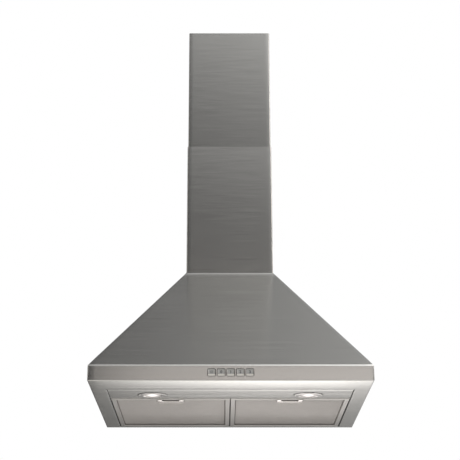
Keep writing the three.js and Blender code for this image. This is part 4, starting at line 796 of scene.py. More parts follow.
outline = round_outline(cap_half_x, cap_half_z, cap_corner, 6)
shrink = np.concatenate([[0.001], np.linspace(0.08, 0.94, 22), [0.965, 0.985, 0.996, 1.0]])[:, None]
face_x, face_z = outline[:, 0] * shrink, outline[:, 1] * shrink
edge_round = 0.55 * (1 - np.sqrt(np.clip(1 - ((shrink - 0.93) / 0.07).clip(0, 1) ** 2, 0, 1)))
face_y = cap_face + np.maximum(cap_height(face_x, face_z), edge_round)
for index, name in enumerate(("light", "stop", "speed_1", "speed_2", "speed_3")):
    shift = (index - 2) * button_pitch
    rings = np.stack([face_x + shift, face_y, face_z + button_z], -1)
    skirt = [
        np.stack([outline[:, 0] + shift, 0 * outline[:, 0] + y, outline[:, 1] + button_z], 1)
        for y in (-498.5, -495.0, cap_back)
    ]
    rows = placed(np.concatenate([rings, np.stack(skirt)]))
    cap = grid_piece("cap", rows, closed_columns=True, caps=("rows",), smooth=30)
    stem_outline = round_outline(2.5, 2.5, 0.4, 2) + [shift, button_z]
    stem = prism("stem", stem_outline, [(0, cap_back - 0.2), (0, cap_back + 9)], "Y")
    piece(
        f"push_cap_{name}", joined("cap", cap, stem), lacquer, f"push_{name}", "button_plastic",
        f"button_{name}",
    )

    # The marks lie a hair proud of the scooped face, and follow it.
    if name == "light":
        turn = np.linspace(0, 2 * np.pi, 28, endpoint=False)
        rim_lines = [np.stack([r * np.cos(turn), r * np.sin(turn) + mark_z], 1) for r in (1.6, 2.3)]
        parts = [np.stack(rim_lines)]
        for spoke in range(8):
            a = spoke * math.pi / 4
            out, over = np.array([math.cos(a), math.sin(a)]), np.array([-math.sin(a), math.cos(a)]) * 0.3
            ray = [[out * 2.8 - over, out * 3.7 - over], [out * 2.8 + over, out * 3.7 + over]]
            parts.append(np.array(ray) + [0, mark_z])
        flats = []
        for k, part in enumerate(parts):
            across, up = part[..., 0], part[..., 1]
            flat = np.stack([across + shift, mark_face + cap_height(across, up), up + button_z], -1)
            flats.append(grid_piece("mark", placed(flat), closed_columns=k == 0))
        mark = joined("mark", *flats)
    else:
        text = bpy.data.curves.new("mark", "FONT")
        text.body = {"stop": "0", "speed_1": "1", "speed_2": "2", "speed_3": "3"}[name]
        text.size = 8.6
        text.offset = 0.22
        text.align_x, text.align_y = "CENTER", "CENTER"
        text.resolution_u = 6
        holder = bpy.data.objects.new("mark", text)
        bpy.context.scene.collection.objects.link(holder)
        bpy.context.view_layer.update()
        mark = bpy.data.meshes.new_from_object(holder.evaluated_get(bpy.context.evaluated_depsgraph_get()))
        bpy.data.objects.remove(holder)
        flat = np.empty(len(mark.vertices) * 3)
        mark.vertices.foreach_get("co", flat)
        flat = flat.reshape(-1, 3)
        across, up = flat[:, 0], flat[:, 1] + mark_z
        lifted = np.stack([across + shift, mark_face + cap_height(across, up), up + button_z], 1)
        mark.vertices.foreach_set("co", placed(lifted).ravel())
    piece(f"mark_{name}", mark, ink, f"push_{name}", "dark_plastic")

# ------------------------------------------------------------------ switch block
# A moulded black housing behind the band guides the five caps; it shows as the dark line round
# each of them.


def dress(material, *names):
    """Gives a finish to CAD nodes."""
    for name in names:
        for material_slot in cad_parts[name].material_slots:
            material_slot.material = material


black = mottled(
    "moulded_black_plastic", "#242528", 0.0, 0.55, 1400.0, 3.0, ("#1C1D1F", "#2E2F33"), (0.48, 0.66), 0.00008
)
dress(black, "switch_block")

# ------------------------------------------------------------------ filters
# Each grease filter is a mitred channel of mill-finish aluminium round a pack of expanded mesh.
# The rails are rolled, so their fine lines run along them.
frame_metal, nodes, shader = finish("mill_finish_aluminium", "#BDB9B6", 1.0, 0.34)
shader.inputs["Anisotropic"].default_value = 0.4
grain = add_node(nodes, "UVMap", {"uv_map": "grain"}).outputs[0]
lines = add_node(nodes, "Mapping", {"Scale": (10, 1500, 1)}, {"Vector": grain})
rolled = add_node(nodes, "TexNoise", {"Scale": 1.0, "Detail": 3.0}, {"Vector": lines.outputs[0]}).outputs[0]
varied(nodes, shader, rolled, ("#AAA7A4", "#BCB9B6"), (0.28, 0.42))

# Aluminium that is dulled by stamping, for small formed pieces with no grain to follow.
stamped = mottled(
    "stamped_aluminium", "#BDB9B6", 1.0, 0.36, 400.0, 4.0, ("#BEBAB7", "#CECAC7"), (0.3, 0.44)
)
dress(stamped, "latch_housing_left", "latch_housing_right")

# Expanded aluminium, slightly warm from the shade inside it.
mesh_metal, nodes, shader = finish("expanded_aluminium_mesh", "#B3ABA8", 1.0, 0.4)
coords = add_node(nodes, "TexCoord").outputs["Object"]
cloud = add_node(nodes, "TexNoise", {"Scale": 60.0, "Detail": 4.0}, {"Vector": coords}).outputs[0]
# Painted shade: the strands' tone deepens over the last 3 mm next to the rails, where the rails' lips shade
# them.
places = add_node(nodes, "SeparateXYZ", links={0: coords})
off_centre = add_node(nodes, "Math", {"operation": "ABSOLUTE"}, {0: places.outputs["X"]}).outputs[0]
from_inner = add_node(nodes, "Math", {"operation": "SUBTRACT", 1: 0.011}, {0: off_centre}).outputs[0]
from_outer = add_node(nodes, "Math", {"operation": "SUBTRACT", 0: 0.254}, {1: off_centre}).outputs[0]
from_front = add_node(nodes, "Math", {"operation": "ADD", 1: 0.309}, {0: places.outputs["Y"]}).outputs[0]
from_rear = add_node(nodes, "Math", {"operation": "SUBTRACT", 0: -0.025}, {1: places.outputs["Y"]}).outputs[0]
beside = add_node(nodes, "Math", {"operation": "MINIMUM"}, {0: from_inner, 1: from_outer}).outputs[0]
behind = add_node(nodes, "Math", {"operation": "ADD", 1: 0.0015}, {0: from_front}).outputs[0]
endways = add_node(nodes, "Math", {"operation": "MINIMUM"}, {0: behind, 1: from_rear}).outputs[0]
from_rail = add_node(nodes, "Math", {"operation": "MINIMUM"}, {0: beside, 1: endways}).outputs[0]
clear_of_rail_shade = add_node(nodes, "MapRange", {"From Min": 0.0005, "From Max": 0.003}, {"Value": from_rail}).outputs[0]
bright = add_node(
    nodes, "Mix", {"data_type": "RGBA", 6: linear("#A6A3A0"), 7: linear("#B8B4B2")}, {0: cloud}
)
rail_shaded_tone = add_node(
    nodes, "Mix", {"data_type": "RGBA", 6: linear("#6E6A68")}, {0: clear_of_rail_shade, 7: bright.outputs[2]}
)
nodes.links.new(rail_shaded_tone.outputs[2], shader.inputs["Base Color"])
varied(nodes, shader, cloud, gloss=(0.32, 0.5))

# The crimped foil behind the mesh, of which only the sheen shows between the strands.
foil_metal, nodes, shader = finish("crimped_aluminium_foil", "#A39C99", 1.0, 0.45)
coords = add_node(nodes, "TexCoord").outputs["Object"]
crimp = add_node(
    nodes, "TexWave", {"Scale": 180.0, "Distortion": 3.0, "Detail": 2.0, "bands_direction": "DIAGONAL"},
    {"Vector": coords},
).outputs["Fac"]
varied(nodes, shader, crimp, ("#8A8785", "#A29F9C"), (0.4, 0.55))

filter_y0, filter_y1 = -319.0, -15.0
filter_z0, filter_z1 = 0.5, 9.5
rail = 10.0


def framed(x0, x1, y0, y1, inset, z):
    """Carries a section round a rectangle with mitred corners: row i is the rectangle moved in by
    inset, at height z. Each side has its corners and a few points between."""
    inset, z = (np.asarray(v, float)[:, None] for v in (inset, z))
    share = np.linspace(0, 1, 9)[None, :-1]
    still, across, along = 0 * share, (x1 - x0 - 2 * inset) * share, (y1 - y0 - 2 * inset) * share
    x = np.concatenate([x0 + inset + across, x1 - inset + still, x1 - inset - across, x0 + inset + still], 1)
    y = np.concatenate([y0 + inset + still, y0 + inset + along, y1 - inset + still, y1 - inset - along], 1)
    return placed(np.stack([x, y, z + 0 * x], -1))


def expanded_sheet(x0, x1, y0, y1, z, cell_x, cell_y, tilt, shut=None):
    """Expanded metal: strands that run across in zigzags, each touching its neighbours at the
    knots. A strand's middle is a triangle wave; its section is a flat strip tipped by the tilt,
    as the knives leave it. `shut` is a box that the strands stop short of."""
    count_y = int(round((y1 - y0) / cell_y))
    count_x = int(round((x1 - x0) / cell_x)) * 2
    pitch_y = (y1 - y0) / count_y
    x = np.linspace(x0, x1, count_x + 1)
    wave = (np.arange(count_x + 1) % 2) * 2.0 - 1
    width, thick = 0.62, 0.35
    strip = np.array([[-width, -thick], [width, -thick], [0, thick]])
    sheets = []
    for row in range(count_y):
        sign = 1 if row % 2 else -1
        middle = y0 + pitch_y * (row + 0.5) + sign * wave * pitch_y * 0.5 * 0.9
        cosine, sine = math.cos(tilt * sign), math.sin(tilt * sign)
        edges = [(middle + a * cosine - b * sine, z + a * sine * 1.2 + b + 0 * x) for a, b in strip]
        points = np.stack([np.stack([x, *edge], 1) for edge in edges], 1)
        if shut:
            keep = (x < shut[0]) | (x > shut[1]) | (middle > shut[2])
            runs = np.split(np.arange(len(x)), np.where(np.diff(keep.astype(int)) != 0)[0] + 1)
            runs = [r for r in runs if keep[r[0]] and len(r) > 1]
        else:
            runs = [np.arange(len(x))]
        sheets.extend(points[r] for r in runs)
    return sheets


def strands_mesh(name, runs):
    """Many closed strips as one mesh: each run's three lines joined all round, with both ends shut."""
    vertices, quads, ends, start = [], [], [], 0
    for run in runs:
        steps = len(run)
        base = start + np.arange(steps - 1)[:, None] * 3
        this, after = np.arange(3)[None], (np.arange(3)[None] + 1) % 3
        corners = [base + this, base + after, base + 3 + after, base + 3 + this]
        quads.append(np.stack(corners, -1).reshape(-1, 4))
        ends.append(np.array([[2, 1, 0], [0, 1, 2]]) + [[start], [start + (steps - 1) * 3]])
        vertices.append(run.reshape(-1, 3))
        start += steps * 3
    mesh = bpy.data.meshes.new(name)
    faces = np.concatenate(quads).tolist() + np.concatenate(ends).tolist()
    mesh.from_pydata(placed(np.concatenate(vertices)).tolist(), [], faces)
    finished(mesh, 40)
    return mesh


for side_name, side in (("left", -1), ("right", 1)):
    x0, x1 = sorted((side * 1.0, side * 264.0))
    middle = (x0 + x1) / 2
    body = f"filter_{side_name}"
    line = np.concatenate(
        [
            [[0.8, filter_z1 - 0.8]],
            [[rail, filter_z1 - 0.8], [rail, filter_z1]],
            arc_line((0.7, filter_z1 - 0.7), 0.7, 90, 180, 4),
            arc_line((0.9, filter_z0 + 0.9), 0.9, 180, 270, 5),
            [[3.0, filter_z0], [5.5, filter_z0 + 0.25], [8.0, filter_z0]],
            arc_line((rail - 0.7, filter_z0 + 0.7), 0.7, 270, 360, 4),
            [[rail, filter_z0 + 2.2], [rail - 0.8, filter_z0 + 2.2]],
            [[rail - 0.8, filter_z0 + 0.9], [0.8, filter_z0 + 0.9]],
        ]
    )
    rows = framed(x0, x1, filter_y0, filter_y1, line[:, 0], line[:, 1])
    channel = grid_piece("channel", rows, closed_rows=True, closed_columns=True, smooth=30)
    nose = prism("punch", nose_hole + [middle, 0], [(0, filter_y0 - 3), (0, filter_y0 + 2)], "Y")
    channel = punched(channel, [nose])
    tabs = [
        prism("tab", round_outline(11, 3.9, 1.5, 3) + [x, -11.9], slab(1.3, 2.3)) for x in (x0 + 40, x1 - 40)
    ]
    piece(
        f"filter_channel_{side_name}", joined("channel", channel, *tabs), frame_metal, body, "aluminium",
        f"filter_frame_{side_name}",
    )

    edge = 1.1
    shut = (middle - 30.6, middle + 30.6, filter_y0 + 35.5)
    low = expanded_sheet(x0 + edge, x1 - edge, filter_y0 + edge, filter_y1 - edge, 3.9, 3.2, 2.7, 0.3, shut)
    high = expanded_sheet(x0 + edge, x1 - edge, filter_y0 + edge, filter_y1 - edge, 6.2, 4.3, 3.4, -0.3, shut)
    piece(
        f"filter_net_{side_name}", strands_mesh("net", low + high), mesh_metal, body, "filter_mesh",
        f"filter_mesh_{side_name}",
    )
    core = [
        [x0 + edge, filter_y0 + edge], [x1 - edge, filter_y0 + edge],
        [x1 - edge, filter_y1 - edge], [x0 + edge, filter_y1 - edge],
    ]
    foil = prism("foil", core, [(0, 8.05), (0, 8.25)])
    piece(f"filter_core_{side_name}", foil, foil_metal, body, "filter_mesh")

# ------------------------------------------------------------------ latches
# The pull is a flat aluminium loop under the front of each filter. Two necks behind the rail
# carry it on a sliding bridge, whose nose snaps into the lamp panel.
for side_name, middle in (("left", -latch_x), ("right", latch_x)):
    pull_y0, pull_y1 = filter_y0 + 2, filter_y0 + 32
    leg, bar, half = 9.5, 13.0, 28.5
    corners = np.array(
        [
            [-half, pull_y0], [-half + leg, pull_y0], [-half + leg, pull_y1 - bar],
            [half - leg, pull_y1 - bar],
            [half - leg, pull_y0], [half, pull_y0], [half, pull_y1], [-half, pull_y1],
        ]
    )
    radii = [1.2, 1.2, 2.5, 2.5, 1.2, 1.2, 4.0, 4.0]
    loop = []
    for k, (corner, radius) in enumerate(zip(corners, radii)):
        to_last = corners[k - 1] - corner
        to_next = corners[(k + 1) % 8] - corner
        a = corner + radius * to_last / np.linalg.norm(to_last)
        b = corner + radius * to_next / np.linalg.norm(to_next)
        t = np.linspace(0, 1, 6)[:, None]
        loop.append((1 - t) ** 2 * a + 2 * t * (1 - t) * corner + t**2 * b)
    loop = np.concatenate(loop)
    tangent = np.roll(loop, -1, 0) - np.roll(loop, 1, 0)
    inward = np.stack([-tangent[:, 1], tangent[:, 0]], 1) / np.linalg.norm(tangent, axis=1)[:, None]
    rows = []
    for draw, height in ((0.35, 0.2), (0.1, 0.1), (0.0, -0.1), (0.0, -0.7), (0.12, -0.9), (0.4, -1.0)):
        at = loop + draw * inward
        rows.append(np.column_stack([at[:, 0] + middle, at[:, 1], np.full(len(at), height)]))
    plate = grid_piece("plate", placed(np.stack(rows)), closed_columns=True, caps=("rows",), smooth=50)
    lip_line = [
        [pull_y1 - 1.2, -0.5], [pull_y1 - 0.1, -0.6], [pull_y1, -1.4], [pull_y1, -2.3],
        [pull_y1 - 0.35, -2.6], [pull_y1 - 0.85, -2.6], [pull_y1 - 1.2, -2.3],
    ]
    lip_rows = [np.column_stack([np.full(7, middle + x), lip_line]) for x in np.linspace(-26.5, 26.5, 9)]
    lip = grid_piece("lip", placed(np.stack(lip_rows)), closed_columns=True, caps=("rows",))
    necks = []
    for end in (-1, 1):
        a, b = sorted((end * (half - leg + 0.5), end * (half - 1)))
        neck = np.array([[a, 10.3], [b, 10.3], [b, 11.8], [a, 11.8]]) + [middle, filter_y0]
        necks.append(prism("neck", neck, [(0, -0.4), (0, 6.7)]))
    bridge = [
        [-27.5, 5.3], [-8, 5.3], [-8, -2.6], [-7.2, -3.5], [7.2, -3.5], [8, -2.6], [8, 5.3], [27.5, 5.3],
        [27.5, 11.8], [-27.5, 11.8],
    ]
    slide = prism("slide", np.array(bridge) + [middle, filter_y0], [(0, 5.35), (0, 6.75)])
    piece(
        f"latch_pull_{side_name}", joined("latch", plate, lip, *necks, slide), stamped, f"latch_{side_name}",
        "aluminium", f"filter_latch_{side_name}",
    )

# ------------------------------------------------------------------ outlet and flaps
# A zinc plate under the canopy's top carries the moulded collar for the duct. Two half discs
# hinge on one steel pin across it and fall shut when the fan stops.
duct_y = -100.0


def chamfered(u0, u1, v0, v1, edge):
    """A rectangle's section with its four corners cut off at 45 degrees."""
    return [
        [u0, v0 + edge], [u0 + edge, v0], [u1 - edge, v0], [u1, v0 + edge],
        [u1, v1 - edge], [u1 - edge, v1], [u0 + edge, v1], [u0, v1 - edge],
    ]


plate_outline = [[-100.0, -196.5], [100.0, -196.5], [100.0, -1.6], [-100.0, -1.6]]
plate = prism("outlet", plate_outline, slab(330.5, 331.7))
hole = turned_piece("hole", [[0, 325], [69.0, 325], [69.0, 336], [0, 336]], (0, duct_y), "Z", 96)
piece("outlet_sheet", punched(plate, [hole]), zinc, "hood", "galvanised", "outlet_plate")

pin_z = 351.6
collar_line = [
    [72.0, 333.3], [85.6, 333.3], [86.0, 333.7], [86.0, 334.9], [85.6, 335.3], [75.5, 335.3], [74.8, 335.6],
    [74.5, 336.3], [74.5, 382.3], [73.7, 387.9], [73.3, 388.3], [72.4, 388.3], [72.0, 387.9], [72.0, 348.3],
    [71.7, 347.5], [70.7, 347.3], [66.3, 347.3], [66.0, 347.0], [66.0, 346.1], [66.3, 345.8], [72.0, 342.3],
]
collar = turned_piece("collar", collar_line, (0, duct_y), "Z", 120, closed=True)
bore = turned_piece("bore", [[0, -190], [2.3, -190], [2.3, -10], [0, -10]], (0, pin_z), "Y", 32)
piece("duct_collar", punched(collar, [bore]), black, "hood", "dark_plastic", "outlet_collar")
pin_line = [[0, -174.3], [1.6, -174.3], [2.0, -173.9], [2.0, -26.1], [1.6, -25.7], [0, -25.7]]
piece(
    "hinge_pin", turned_piece("pin", pin_line, (0, pin_z), "Y", 32), screw_steel, "hood", "screw_steel",
    "flap_pin",
)
reach = math.degrees(math.acos(5.0 / 71.0))
for side_name, side, places in (("left", -1, (-132.25, -89.25)), ("right", 1, (-110.75, -67.75))):
    start = 180 if side < 0 else 0
    half_disc = arc_line((0.0, duct_y), 71.0, start - reach, start + reach, 64)
    parts = [prism("leaf", half_disc, slab(347.6, 348.8, 0.25))]
    for y in places:
        knuckle = chamfered(2.4, 4.0, y - 10, y + 10, 0.3)
        parts.append(turned_piece("knuckle", knuckle, (0, pin_z), "Y", 40, closed=True))
        x0, x1 = sorted((side * 0.2, side * 7.0))
        arm = [[x0, y - 10], [x1, y - 10], [x1, y + 10], [x0, y + 10]]
        parts.append(prism("arm", arm, slab(347.6, 348.8, 0.2)))
    piece(
        f"flap_disc_{side_name}", joined("flap", *parts), black, f"{side_name}_flap", "dark_plastic",
        f"flap_{side_name}",
    )

# ------------------------------------------------------------------ blower
# A spiral casing of zinc sheet: a wrapper between two side plates, each with an inlet pressed in
# as a bellmouth. The moulded wheel inside draws air from both ends; its hub rides on the shaft of
# a motor that sits in the right inlet, on a three-armed spider.
axis = (-176.776, 165.0)
spiral_start, spiral_end = math.radians(75), 2 * math.pi
tongue_radius, growth, duct_top = 91.0, 39.0, 330.2


def spiral(offset, steps=96, climb=12):
    """The casing's line in (y, z): down the front of the duct, round the spiral whose radius grows
    evenly with the angle from the tongue, and up the back of the duct."""
    share = np.linspace(0, 1, steps + 1)
    angle = spiral_start + (spiral_end - spiral_start) * share
    radius = tongue_radius + growth * share + offset
    round_it = np.stack([axis[0] + radius * np.cos(angle), axis[1] + radius * np.sin(angle)], 1)
    front = axis[0] + tongue_radius * math.cos(spiral_start) - offset
    round_it[0, 0] = front
    rise = np.linspace(0, 1, climb + 1)[1:]
    down = np.column_stack([0 * rise + front, duct_top + (round_it[0, 1] - duct_top) * rise])
    up = np.column_stack([0 * rise + round_it[-1, 0], axis[1] + (duct_top - axis[1]) * rise])
    return np.concatenate([[[front, duct_top]], down[:-1], round_it, up])


wrapper_rows = [(spiral(1.2), -64.5), (spiral(1.2), 64.5), (spiral(0.0), 64.5), (spiral(0.0), -64.5)]
wrapper = np.stack([stood(line[:, 0], line[:, 1], x, "X") for line, x in wrapper_rows])
wrapper = grid_piece("wrapper", wrapper, closed_rows=True, caps=("columns",))
piece("spiral_wrapper", wrapper, zinc, "hood", "galvanised", "blower_wrapper")

# Each column of a side plate runs from a point of the outline to a point of the eye: at the same
# angle on the spiral, and spread evenly over the rest of the eye along the duct.
outline = spiral(1.2)
on_spiral = np.arctan2(outline[:, 1] - axis[1], outline[:, 0] - axis[0]) % (2 * np.pi)
duct_front, duct_back = np.arange(12), np.arange(len(outline) - 12, len(outline))
over = np.concatenate([duct_back, duct_front])
on_spiral[over] = spiral_start * np.linspace(0.04, 0.96, len(over))
on_spiral[len(outline) - 13] = 0.0
for side_name, side in (("left", -1), ("right", 1)):
    face = side * 66.0
    eye = [(73.0, face)]
    for radius, turns in ((9.0, np.linspace(0, 90, 9)[1:]), (7.8, np.linspace(90, 0, 9))):
        for turn in np.radians(turns):
            eye.append((73.0 - radius * math.sin(turn), face - side * (9.0 - radius * math.cos(turn))))
    rows = [stood(outline[:, 0], outline[:, 1], face, "X")]
    rows += [stood(axis[0] + r * np.cos(on_spiral), axis[1] + r * np.sin(on_spiral), x, "X") for r, x in eye]
    rows.append(stood(outline[:, 0], outline[:, 1], face - side * 1.2, "X"))
    side_plate = grid_piece("side_plate", np.stack(rows), closed_rows=True, closed_columns=True)
    piece(
        f"bellmouth_plate_{side_name}", side_plate, zinc, "hood", "galvanised", f"blower_casing_{side_name}"
    )

# Glass-filled nylon, moulded dark grey, with the dull pebble of a spark-eroded mould.
grey_plastic = mottled(
    "moulded_grey_plastic", "#5D6063", 0.0, 0.5, 1200.0, 3.0, ("#54575A", "#686B6E"), (0.44, 0.6), 0.00006
)

blades = 24
parts = []
for end in (-1, 1):
    line = [[r, end * x] for r, x in chamfered(67.0, 80.0, 53.6, 56.0, 0.3)]
    parts.append(turned_piece("end_ring", line, axis, "X", 144, closed=True))
share = np.linspace(0, 1, 9)
blade_radius = 67.6 + 11.8 * share
blade_lean = np.radians(2.0 - 7.4 * share**2)
half_thick = 0.6 / blade_radius
blade_radius = np.concatenate([blade_radius, blade_radius[::-1]])
blade_angle = np.concatenate([blade_lean - half_thick, (blade_lean + half_thick)[::-1]])
for index in range(blades):
    turn = blade_angle + 2 * np.pi * (index + 0.5) / blades
    blade = np.stack([axis[0] + blade_radius * np.cos(turn), axis[1] + blade_radius * np.sin(turn)], 1)
    parts.append(prism("blade", blade, [(0, -55.0), (0, 55.0)], "X"))
piece("fan_wheel", joined("wheel", *parts), grey_plastic, "impeller", "grey_plastic", "blower_wheel")

# Deep-drawn motor can and pressed hub disc, stoved in zinc-grey paint with a slight orange peel.
motor_paint = mottled(
    "zinc_grey_motor_can", "#8E9194", 1.0, 0.45, 500.0, 2.0, ("#85888B", "#9B9EA1"), (0.38, 0.52)
)

hub_half = np.array(
    [[4.3, 11.0], [12.5, 11.0], [13.0, 10.5], [13.4, 4.0], [14.2, 2.0], [16.0, 1.0], [67.3, 1.0]]
)
hub_line = np.concatenate([hub_half, (hub_half * [1, -1])[::-1]])
hub = turned_piece("hub", hub_line, axis, "X", 96, closed=True)
piece("hub_disc", hub, motor_paint, "impeller", "motor_steel", "wheel_hub")
shaft_line = [[0, -13.0], [3.5, -13.0], [4.0, -12.5], [4.0, 30.5], [3.5, 31.0], [0, 31.0]]
shaft = turned_piece("shaft", shaft_line, axis, "X", 40)
piece("drive_shaft", shaft, screw_steel, "impeller", "screw_steel", "motor_shaft")

can_line = np.concatenate(
    [
        [[0, 32.0], [4.3, 32.0], [4.3, 12.0], [14.4, 12.0], [15.0, 12.6], [16.4, 16.0]],
        arc_line((38.0, 22.0), 6.0, -90, 0, 8),
        [[44.0, 48.4], [43.6, 48.7], [43.6, 49.3], [44.0, 49.6]],
        arc_line((38.0, 76.0), 6.0, 0, 90, 8),
        [[15.4, 82.0], [14.8, 82.6], [13.4, 87.2], [12.6, 88.0], [0, 88.0]],
    ]
)
can = turned_piece("can", can_line, axis, "X", 96)
vents = []
for index in range(8):
    turn = index * math.pi / 4
    out, over = np.array([math.cos(turn), math.sin(turn)]), np.array([-math.sin(turn), math.cos(turn)])
    lying = round_outline(7.0, 1.6, 1.5, 6)
    vent = np.array(axis) + (29.0 + lying[:, :1]) * out + lying[:, 1:] * over
    vents.append(prism("vent", vent, [(0, 79.0), (0, 90.0)], "X"))
piece("motor_can", punched(can, vents), motor_paint, "hood", "motor_steel", "blower_motor")

flat_ring, clamp_ring = chamfered(74.0, 82.0, 66.3, 68.3, 0.2), chamfered(44.3, 46.8, 66.3, 75.3, 0.2)
parts = [turned_piece("ring", line, axis, "X", 96, closed=True) for line in (flat_ring, clamp_ring)]
for turn in np.radians([90, 210, 330]):
    out, over = np.array([math.cos(turn), math.sin(turn)]), np.array([-math.sin(turn), math.cos(turn)])
    corners = ((45.6, -6), (77.0, -6), (77.0, 6), (45.6, 6))
    arm = [np.array(axis) + along * out + aside * over for along, aside in corners]
    parts.append(prism("arm", arm, slab(66.35, 68.25), "X"))
piece("spider", joined("spider", *parts), zinc, "hood", "galvanised", "motor_spider")

# ------------------------------------------------------------------ electrics
# On the back panel: a moulded terminal box with its lid and the gland for the mains lead, the
# motor's capacitor in its band clip, and the sealed driver of the lamps.
wall_y = -1.3


def round_box(x0, x1, z0, z1, radius, steps=6):
    """The outline of an upright rectangle with rounded corners."""
    middle = [(x0 + x1) / 2, (z0 + z1) / 2]
    return round_outline((x1 - x0) / 2, (z1 - z0) / 2, radius, steps) + middle


outside, inside = round_box(102, 198, 65, 127, 3.0), round_box(104, 196, 67, 125, 1.2)
box_rows = [
    (outside, wall_y), (outside, -40.9), (outside * 0.998 + inside * 0.002, -41.3), (inside, -41.3),
    (inside, -3.3),
]
box_rows = np.stack([stood(line[:, 0], line[:, 1], y, "Y") for line, y in box_rows])
box = grid_piece("box", box_rows, closed_columns=True, caps=("rows",))
gland_x, gland_y = 150.0, -21.3
passage = turned_piece("passage", [[0, 123], [8.3, 123], [8.3, 129], [0, 129]], (gland_x, gland_y), "Z", 40)
piece("connection_box", punched(box, [passage]), grey_plastic, "hood", "grey_plastic", "terminal_box")
lid = prism("lid", outside, [(1.2, -43.6), (0.35, -43.35), (0, -42.8), (0, -41.6)], "Y")
tongue_rows = [(0, -42.1), (0, -38.6), (0.3, -38.3)]
tongue = prism("tongue", round_box(104.3, 195.7, 67.3, 68.8, 0.3, 2), tongue_rows, "Y")
piece("connection_lid", joined("lid", lid, tongue), grey_plastic, "hood", "grey_plastic", "terminal_box_lid")

gland_line = [
    [4.0, 122.0], [7.7, 122.0], [8.0, 122.3], [8.0, 133.3], [8.9, 134.0], [9.0, 135.3], [8.8, 137.5],
    [8.1, 140.0], [7.2, 142.0], [6.0, 143.3], [4.6, 143.3], [4.0, 142.7],
]
dome = turned_piece("dome", gland_line, (gland_x, gland_y), "Z", 48, closed=True)
turn = np.linspace(0, 2 * np.pi, 72, endpoint=False)
flats = 10.5 * math.cos(math.pi / 6) / np.cos(turn % (math.pi / 3) - math.pi / 6)
nut_rows = [
    (7.5 + 0 * flats, 127.3), (flats - 0.5, 127.3), (flats, 127.8), (flats, 132.6), (flats - 0.7, 133.3),
    (7.5 + 0 * flats, 133.3),
]
nut = np.stack([stood(gland_x + r * np.cos(turn), gland_y + r * np.sin(turn), z, "Z") for r, z in nut_rows])
nut = grid_piece("nut", nut, closed_rows=True, closed_columns=True, smooth=25)
piece("lead_gland", joined("gland", dome, nut), black, "hood", "dark_plastic", "cable_gland")

can_x, can_y = -172.0, -20.8
can_line = np.concatenate(
    [
        [[0, 61.0], [16.5, 61.0]],
        arc_line((16.5, 62.5), 1.5, -90, 0, 5),
        [[18.0, 118.6], [17.5, 119.2], [17.5, 120.0], [18.0, 120.6], [18.0, 121.6]],
        arc_line((16.6, 121.6), 1.4, 0, 90, 5),
        [[15.4, 122.6], [15.0, 122.2], [6.6, 122.2], [6.0, 122.8], [6.0, 126.4], [5.4, 127.0], [0, 127.0]],
    ]
)
capacitor = turned_piece("capacitor", can_line, (can_x, can_y), "Z", 64)
piece("capacitor_can", capacitor, stamped, "hood", "aluminium", "motor_capacitor")
band_line = chamfered(18.3, 19.5, 84.0, 100.0, 0.2)
clip_band = turned_piece("clip_band", band_line, (can_x, can_y), "Z", 72, closed=True)
clip_foot = prism("clip_foot", round_box(-202, -142, 84, 100, 2.0), slab(-2.5, wall_y), "Y")
piece("capacitor_band", joined("clip", clip_band, clip_foot), zinc, "hood", "galvanised", "capacitor_clip")
driver_rows = [
    (1.0, -25.3), (0.3, -25.0), (0, -24.3), (0, -9.6), (0.35, -9.3), (0.35, -8.9), (0, -8.6), (0, wall_y),
]
driver = prism("driver", round_box(-185, -115, 133, 167, 3.0), driver_rows, "Y")
piece("driver_case", driver, black, "hood", "dark_plastic", "lamp_driver")

# ------------------------------------------------------------------ chimney covers
# Two folded covers of the same steel, the upper one sliding inside the lower. Each front bows out,
# the lower by 1.75 mm, the upper by 0.45 mm and 0.85 mm more in its bump, so that the reflection
# starts anew at the joint.
lower_steel = brushed_steel("lower_cover_stainless_sheet", "#B6B5B2", "#A6A5A2", (10, 450), (0.2, 0.235))
upper_steel = brushed_steel(
    "upper_cover_stainless_sheet", "#B6B5B2", "#A6A5A2", (10, 450), (0.2, 0.235),
    ("Z", 0.4103, 0.7263, -1, 1, 0.00085),
)


def cover(half, front, rear, z0, z1, fold, back, bow):
    """A folded cover: the plan's open line runs from one rear return round the sides and the front
    to the other, doubled inwards by the sheet. Rows climb from z0 to z1; a parabola of height bow
    pushes the front out half way up."""
    steps = 6
    line = np.concatenate(
        [
            [[-half + back, rear], [-half + fold, rear]],
            arc_line((-half + fold, rear - fold), fold, 90, 180, steps),
            np.column_stack([np.full(9, -half), np.linspace(rear - fold, front + fold, 11)[1:-1]]),
            arc_line((-half + fold, front + fold), fold, 180, 270, steps),
            np.column_stack([np.linspace(-half + fold, half - fold, 23)[1:-1], np.full(21, front)]),
            arc_line((half - fold, front + fold), fold, 270, 360, steps),
            np.column_stack([np.full(9, half), np.linspace(front + fold, rear - fold, 11)[1:-1]]),
            arc_line((half - fold, rear - fold), fold, 0, 90, steps),
            [[half - back, rear]],
        ]
    )
    ring = both_faces(line, 1.0)
    height = np.concatenate([[0, 0.4], np.linspace(6, z1 - z0 - 6, 24), [z1 - z0 - 0.4, z1 - z0]])[:, None]
    share = height / (z1 - z0)
    push = 4 * bow * share * (1 - share) * np.clip((rear - ring[:, 1]) / (rear - front), 0, 1)[None]
    x = ring[:, 0][None] + 0 * height
    y = ring[:, 1][None] - push
    return placed(np.stack([x, y, z0 + height + 0 * x], -1))


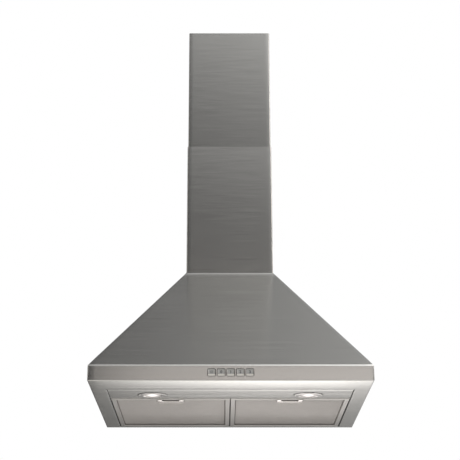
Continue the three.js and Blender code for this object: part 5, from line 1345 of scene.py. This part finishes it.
lower = cover(103.5, -200.0, 0.0, 333.3, 660.3, 2.5, 15.0, 1.75)
piece(
    "lower_cover",
    grid_piece("lower_cover", lower, closed_columns=True, caps=("rows",)),
    lower_steel, "hood", "chimney_steel", "lower_chimney",
)
upper = cover(102.0, -198.5, -1.5, 610.3, 976.3, 2.5, 15.0, 0.45)
upper_sheet = grid_piece("upper_cover", upper, closed_columns=True, caps=("rows",))
punches = []
for index in range(5):
    vent = round_outline(32.0, 2.5, 2.45, 8) + [-100.0, 914.3 - 13.0 * index]
    punches.append(prism("vent", vent, [(0, -110), (0, 110)], "X"))
bracket_z, screw_y = 954.3, -19.5
cone = [[0, 98], [2.1, 98], [2.1, 100.4], [3.55, 102.05], [5.5, 104], [0, 104]]
for end in (-1, 1):
    one_side = [[r, end * x] for r, x in cone]
    punches.append(turned_piece("screw_hole", one_side, (screw_y, bracket_z), "X", 32))
upper_sheet = punched(upper_sheet, punches)
piece("upper_cover_sheet", upper_sheet, upper_steel, "upper_cover", "chimney_steel", "upper_chimney")

# ------------------------------------------------------------------ wall bracket
# A zinc channel on two pressed pads holds the top of the upper cover to the wall; a countersunk
# screw on each side goes through the cover into its arm.
arm_line = np.concatenate(
    [
        [[-100.7, -38.3], [-100.7, -20.0]],
        arc_line((-98.7, -4.8), 2.0, 180, 90, 6),
        arc_line((98.7, -4.8), 2.0, 90, 0, 6),
        [[100.7, -20.0], [100.7, -38.3]],
    ]
)
channel = prism("channel", both_faces(arm_line, -1.5), slab(942.3, 966.3))
holes, pads = [], []
for end in (-1, 1):
    pad_line = [[2.75, -3.6], [11.0, -3.6], [11.0, -1.2], [10.6, -0.3], [9.8, 0.0], [2.75, 0.0]]
    pads.append(turned_piece("pad", pad_line, (end * 45.0, bracket_z), "Y", 48, closed=True))
    bore = [[0, -9], [2.75, -9], [2.75, 3], [0, 3]]
    holes.append(turned_piece("hole", bore, (end * 45.0, bracket_z), "Y", 32))
    bore = [[0, end * 96], [2.1, end * 96], [2.1, end * 104], [0, end * 104]]
    holes.append(turned_piece("hole", bore, (screw_y, bracket_z), "X", 24))
piece(
    "bracket_channel", joined("bracket", punched(channel, holes), *pads), zinc, "upper_cover", "galvanised",
    "wall_bracket",
)
for side_name, end in (("left", -1), ("right", 1)):
    line = [[0, 101.95], [3.1, 101.95], [3.2, 101.8], [1.75, 100.45], [1.75, 93.8], [1.2, 92.95], [0, 92.95]]
    screw = turned_piece("side_screw", [[r, end * x] for r, x in line], (screw_y, bracket_z), "X", 40)
    for half_u, half_v in ((1.7, 0.32), (0.32, 1.7)):
        cross = round_outline(half_u, half_v, 0.2, 2) + [screw_y, bracket_z]
        screw = punched(screw, [prism("cross", cross, [(0, end * 100.9), (0, end * 103)], "X")])
    piece(
        f"side_screw_{side_name}", screw, screw_steel, "upper_cover", "screw_steel",
        f"chimney_screw_{side_name}",
    )
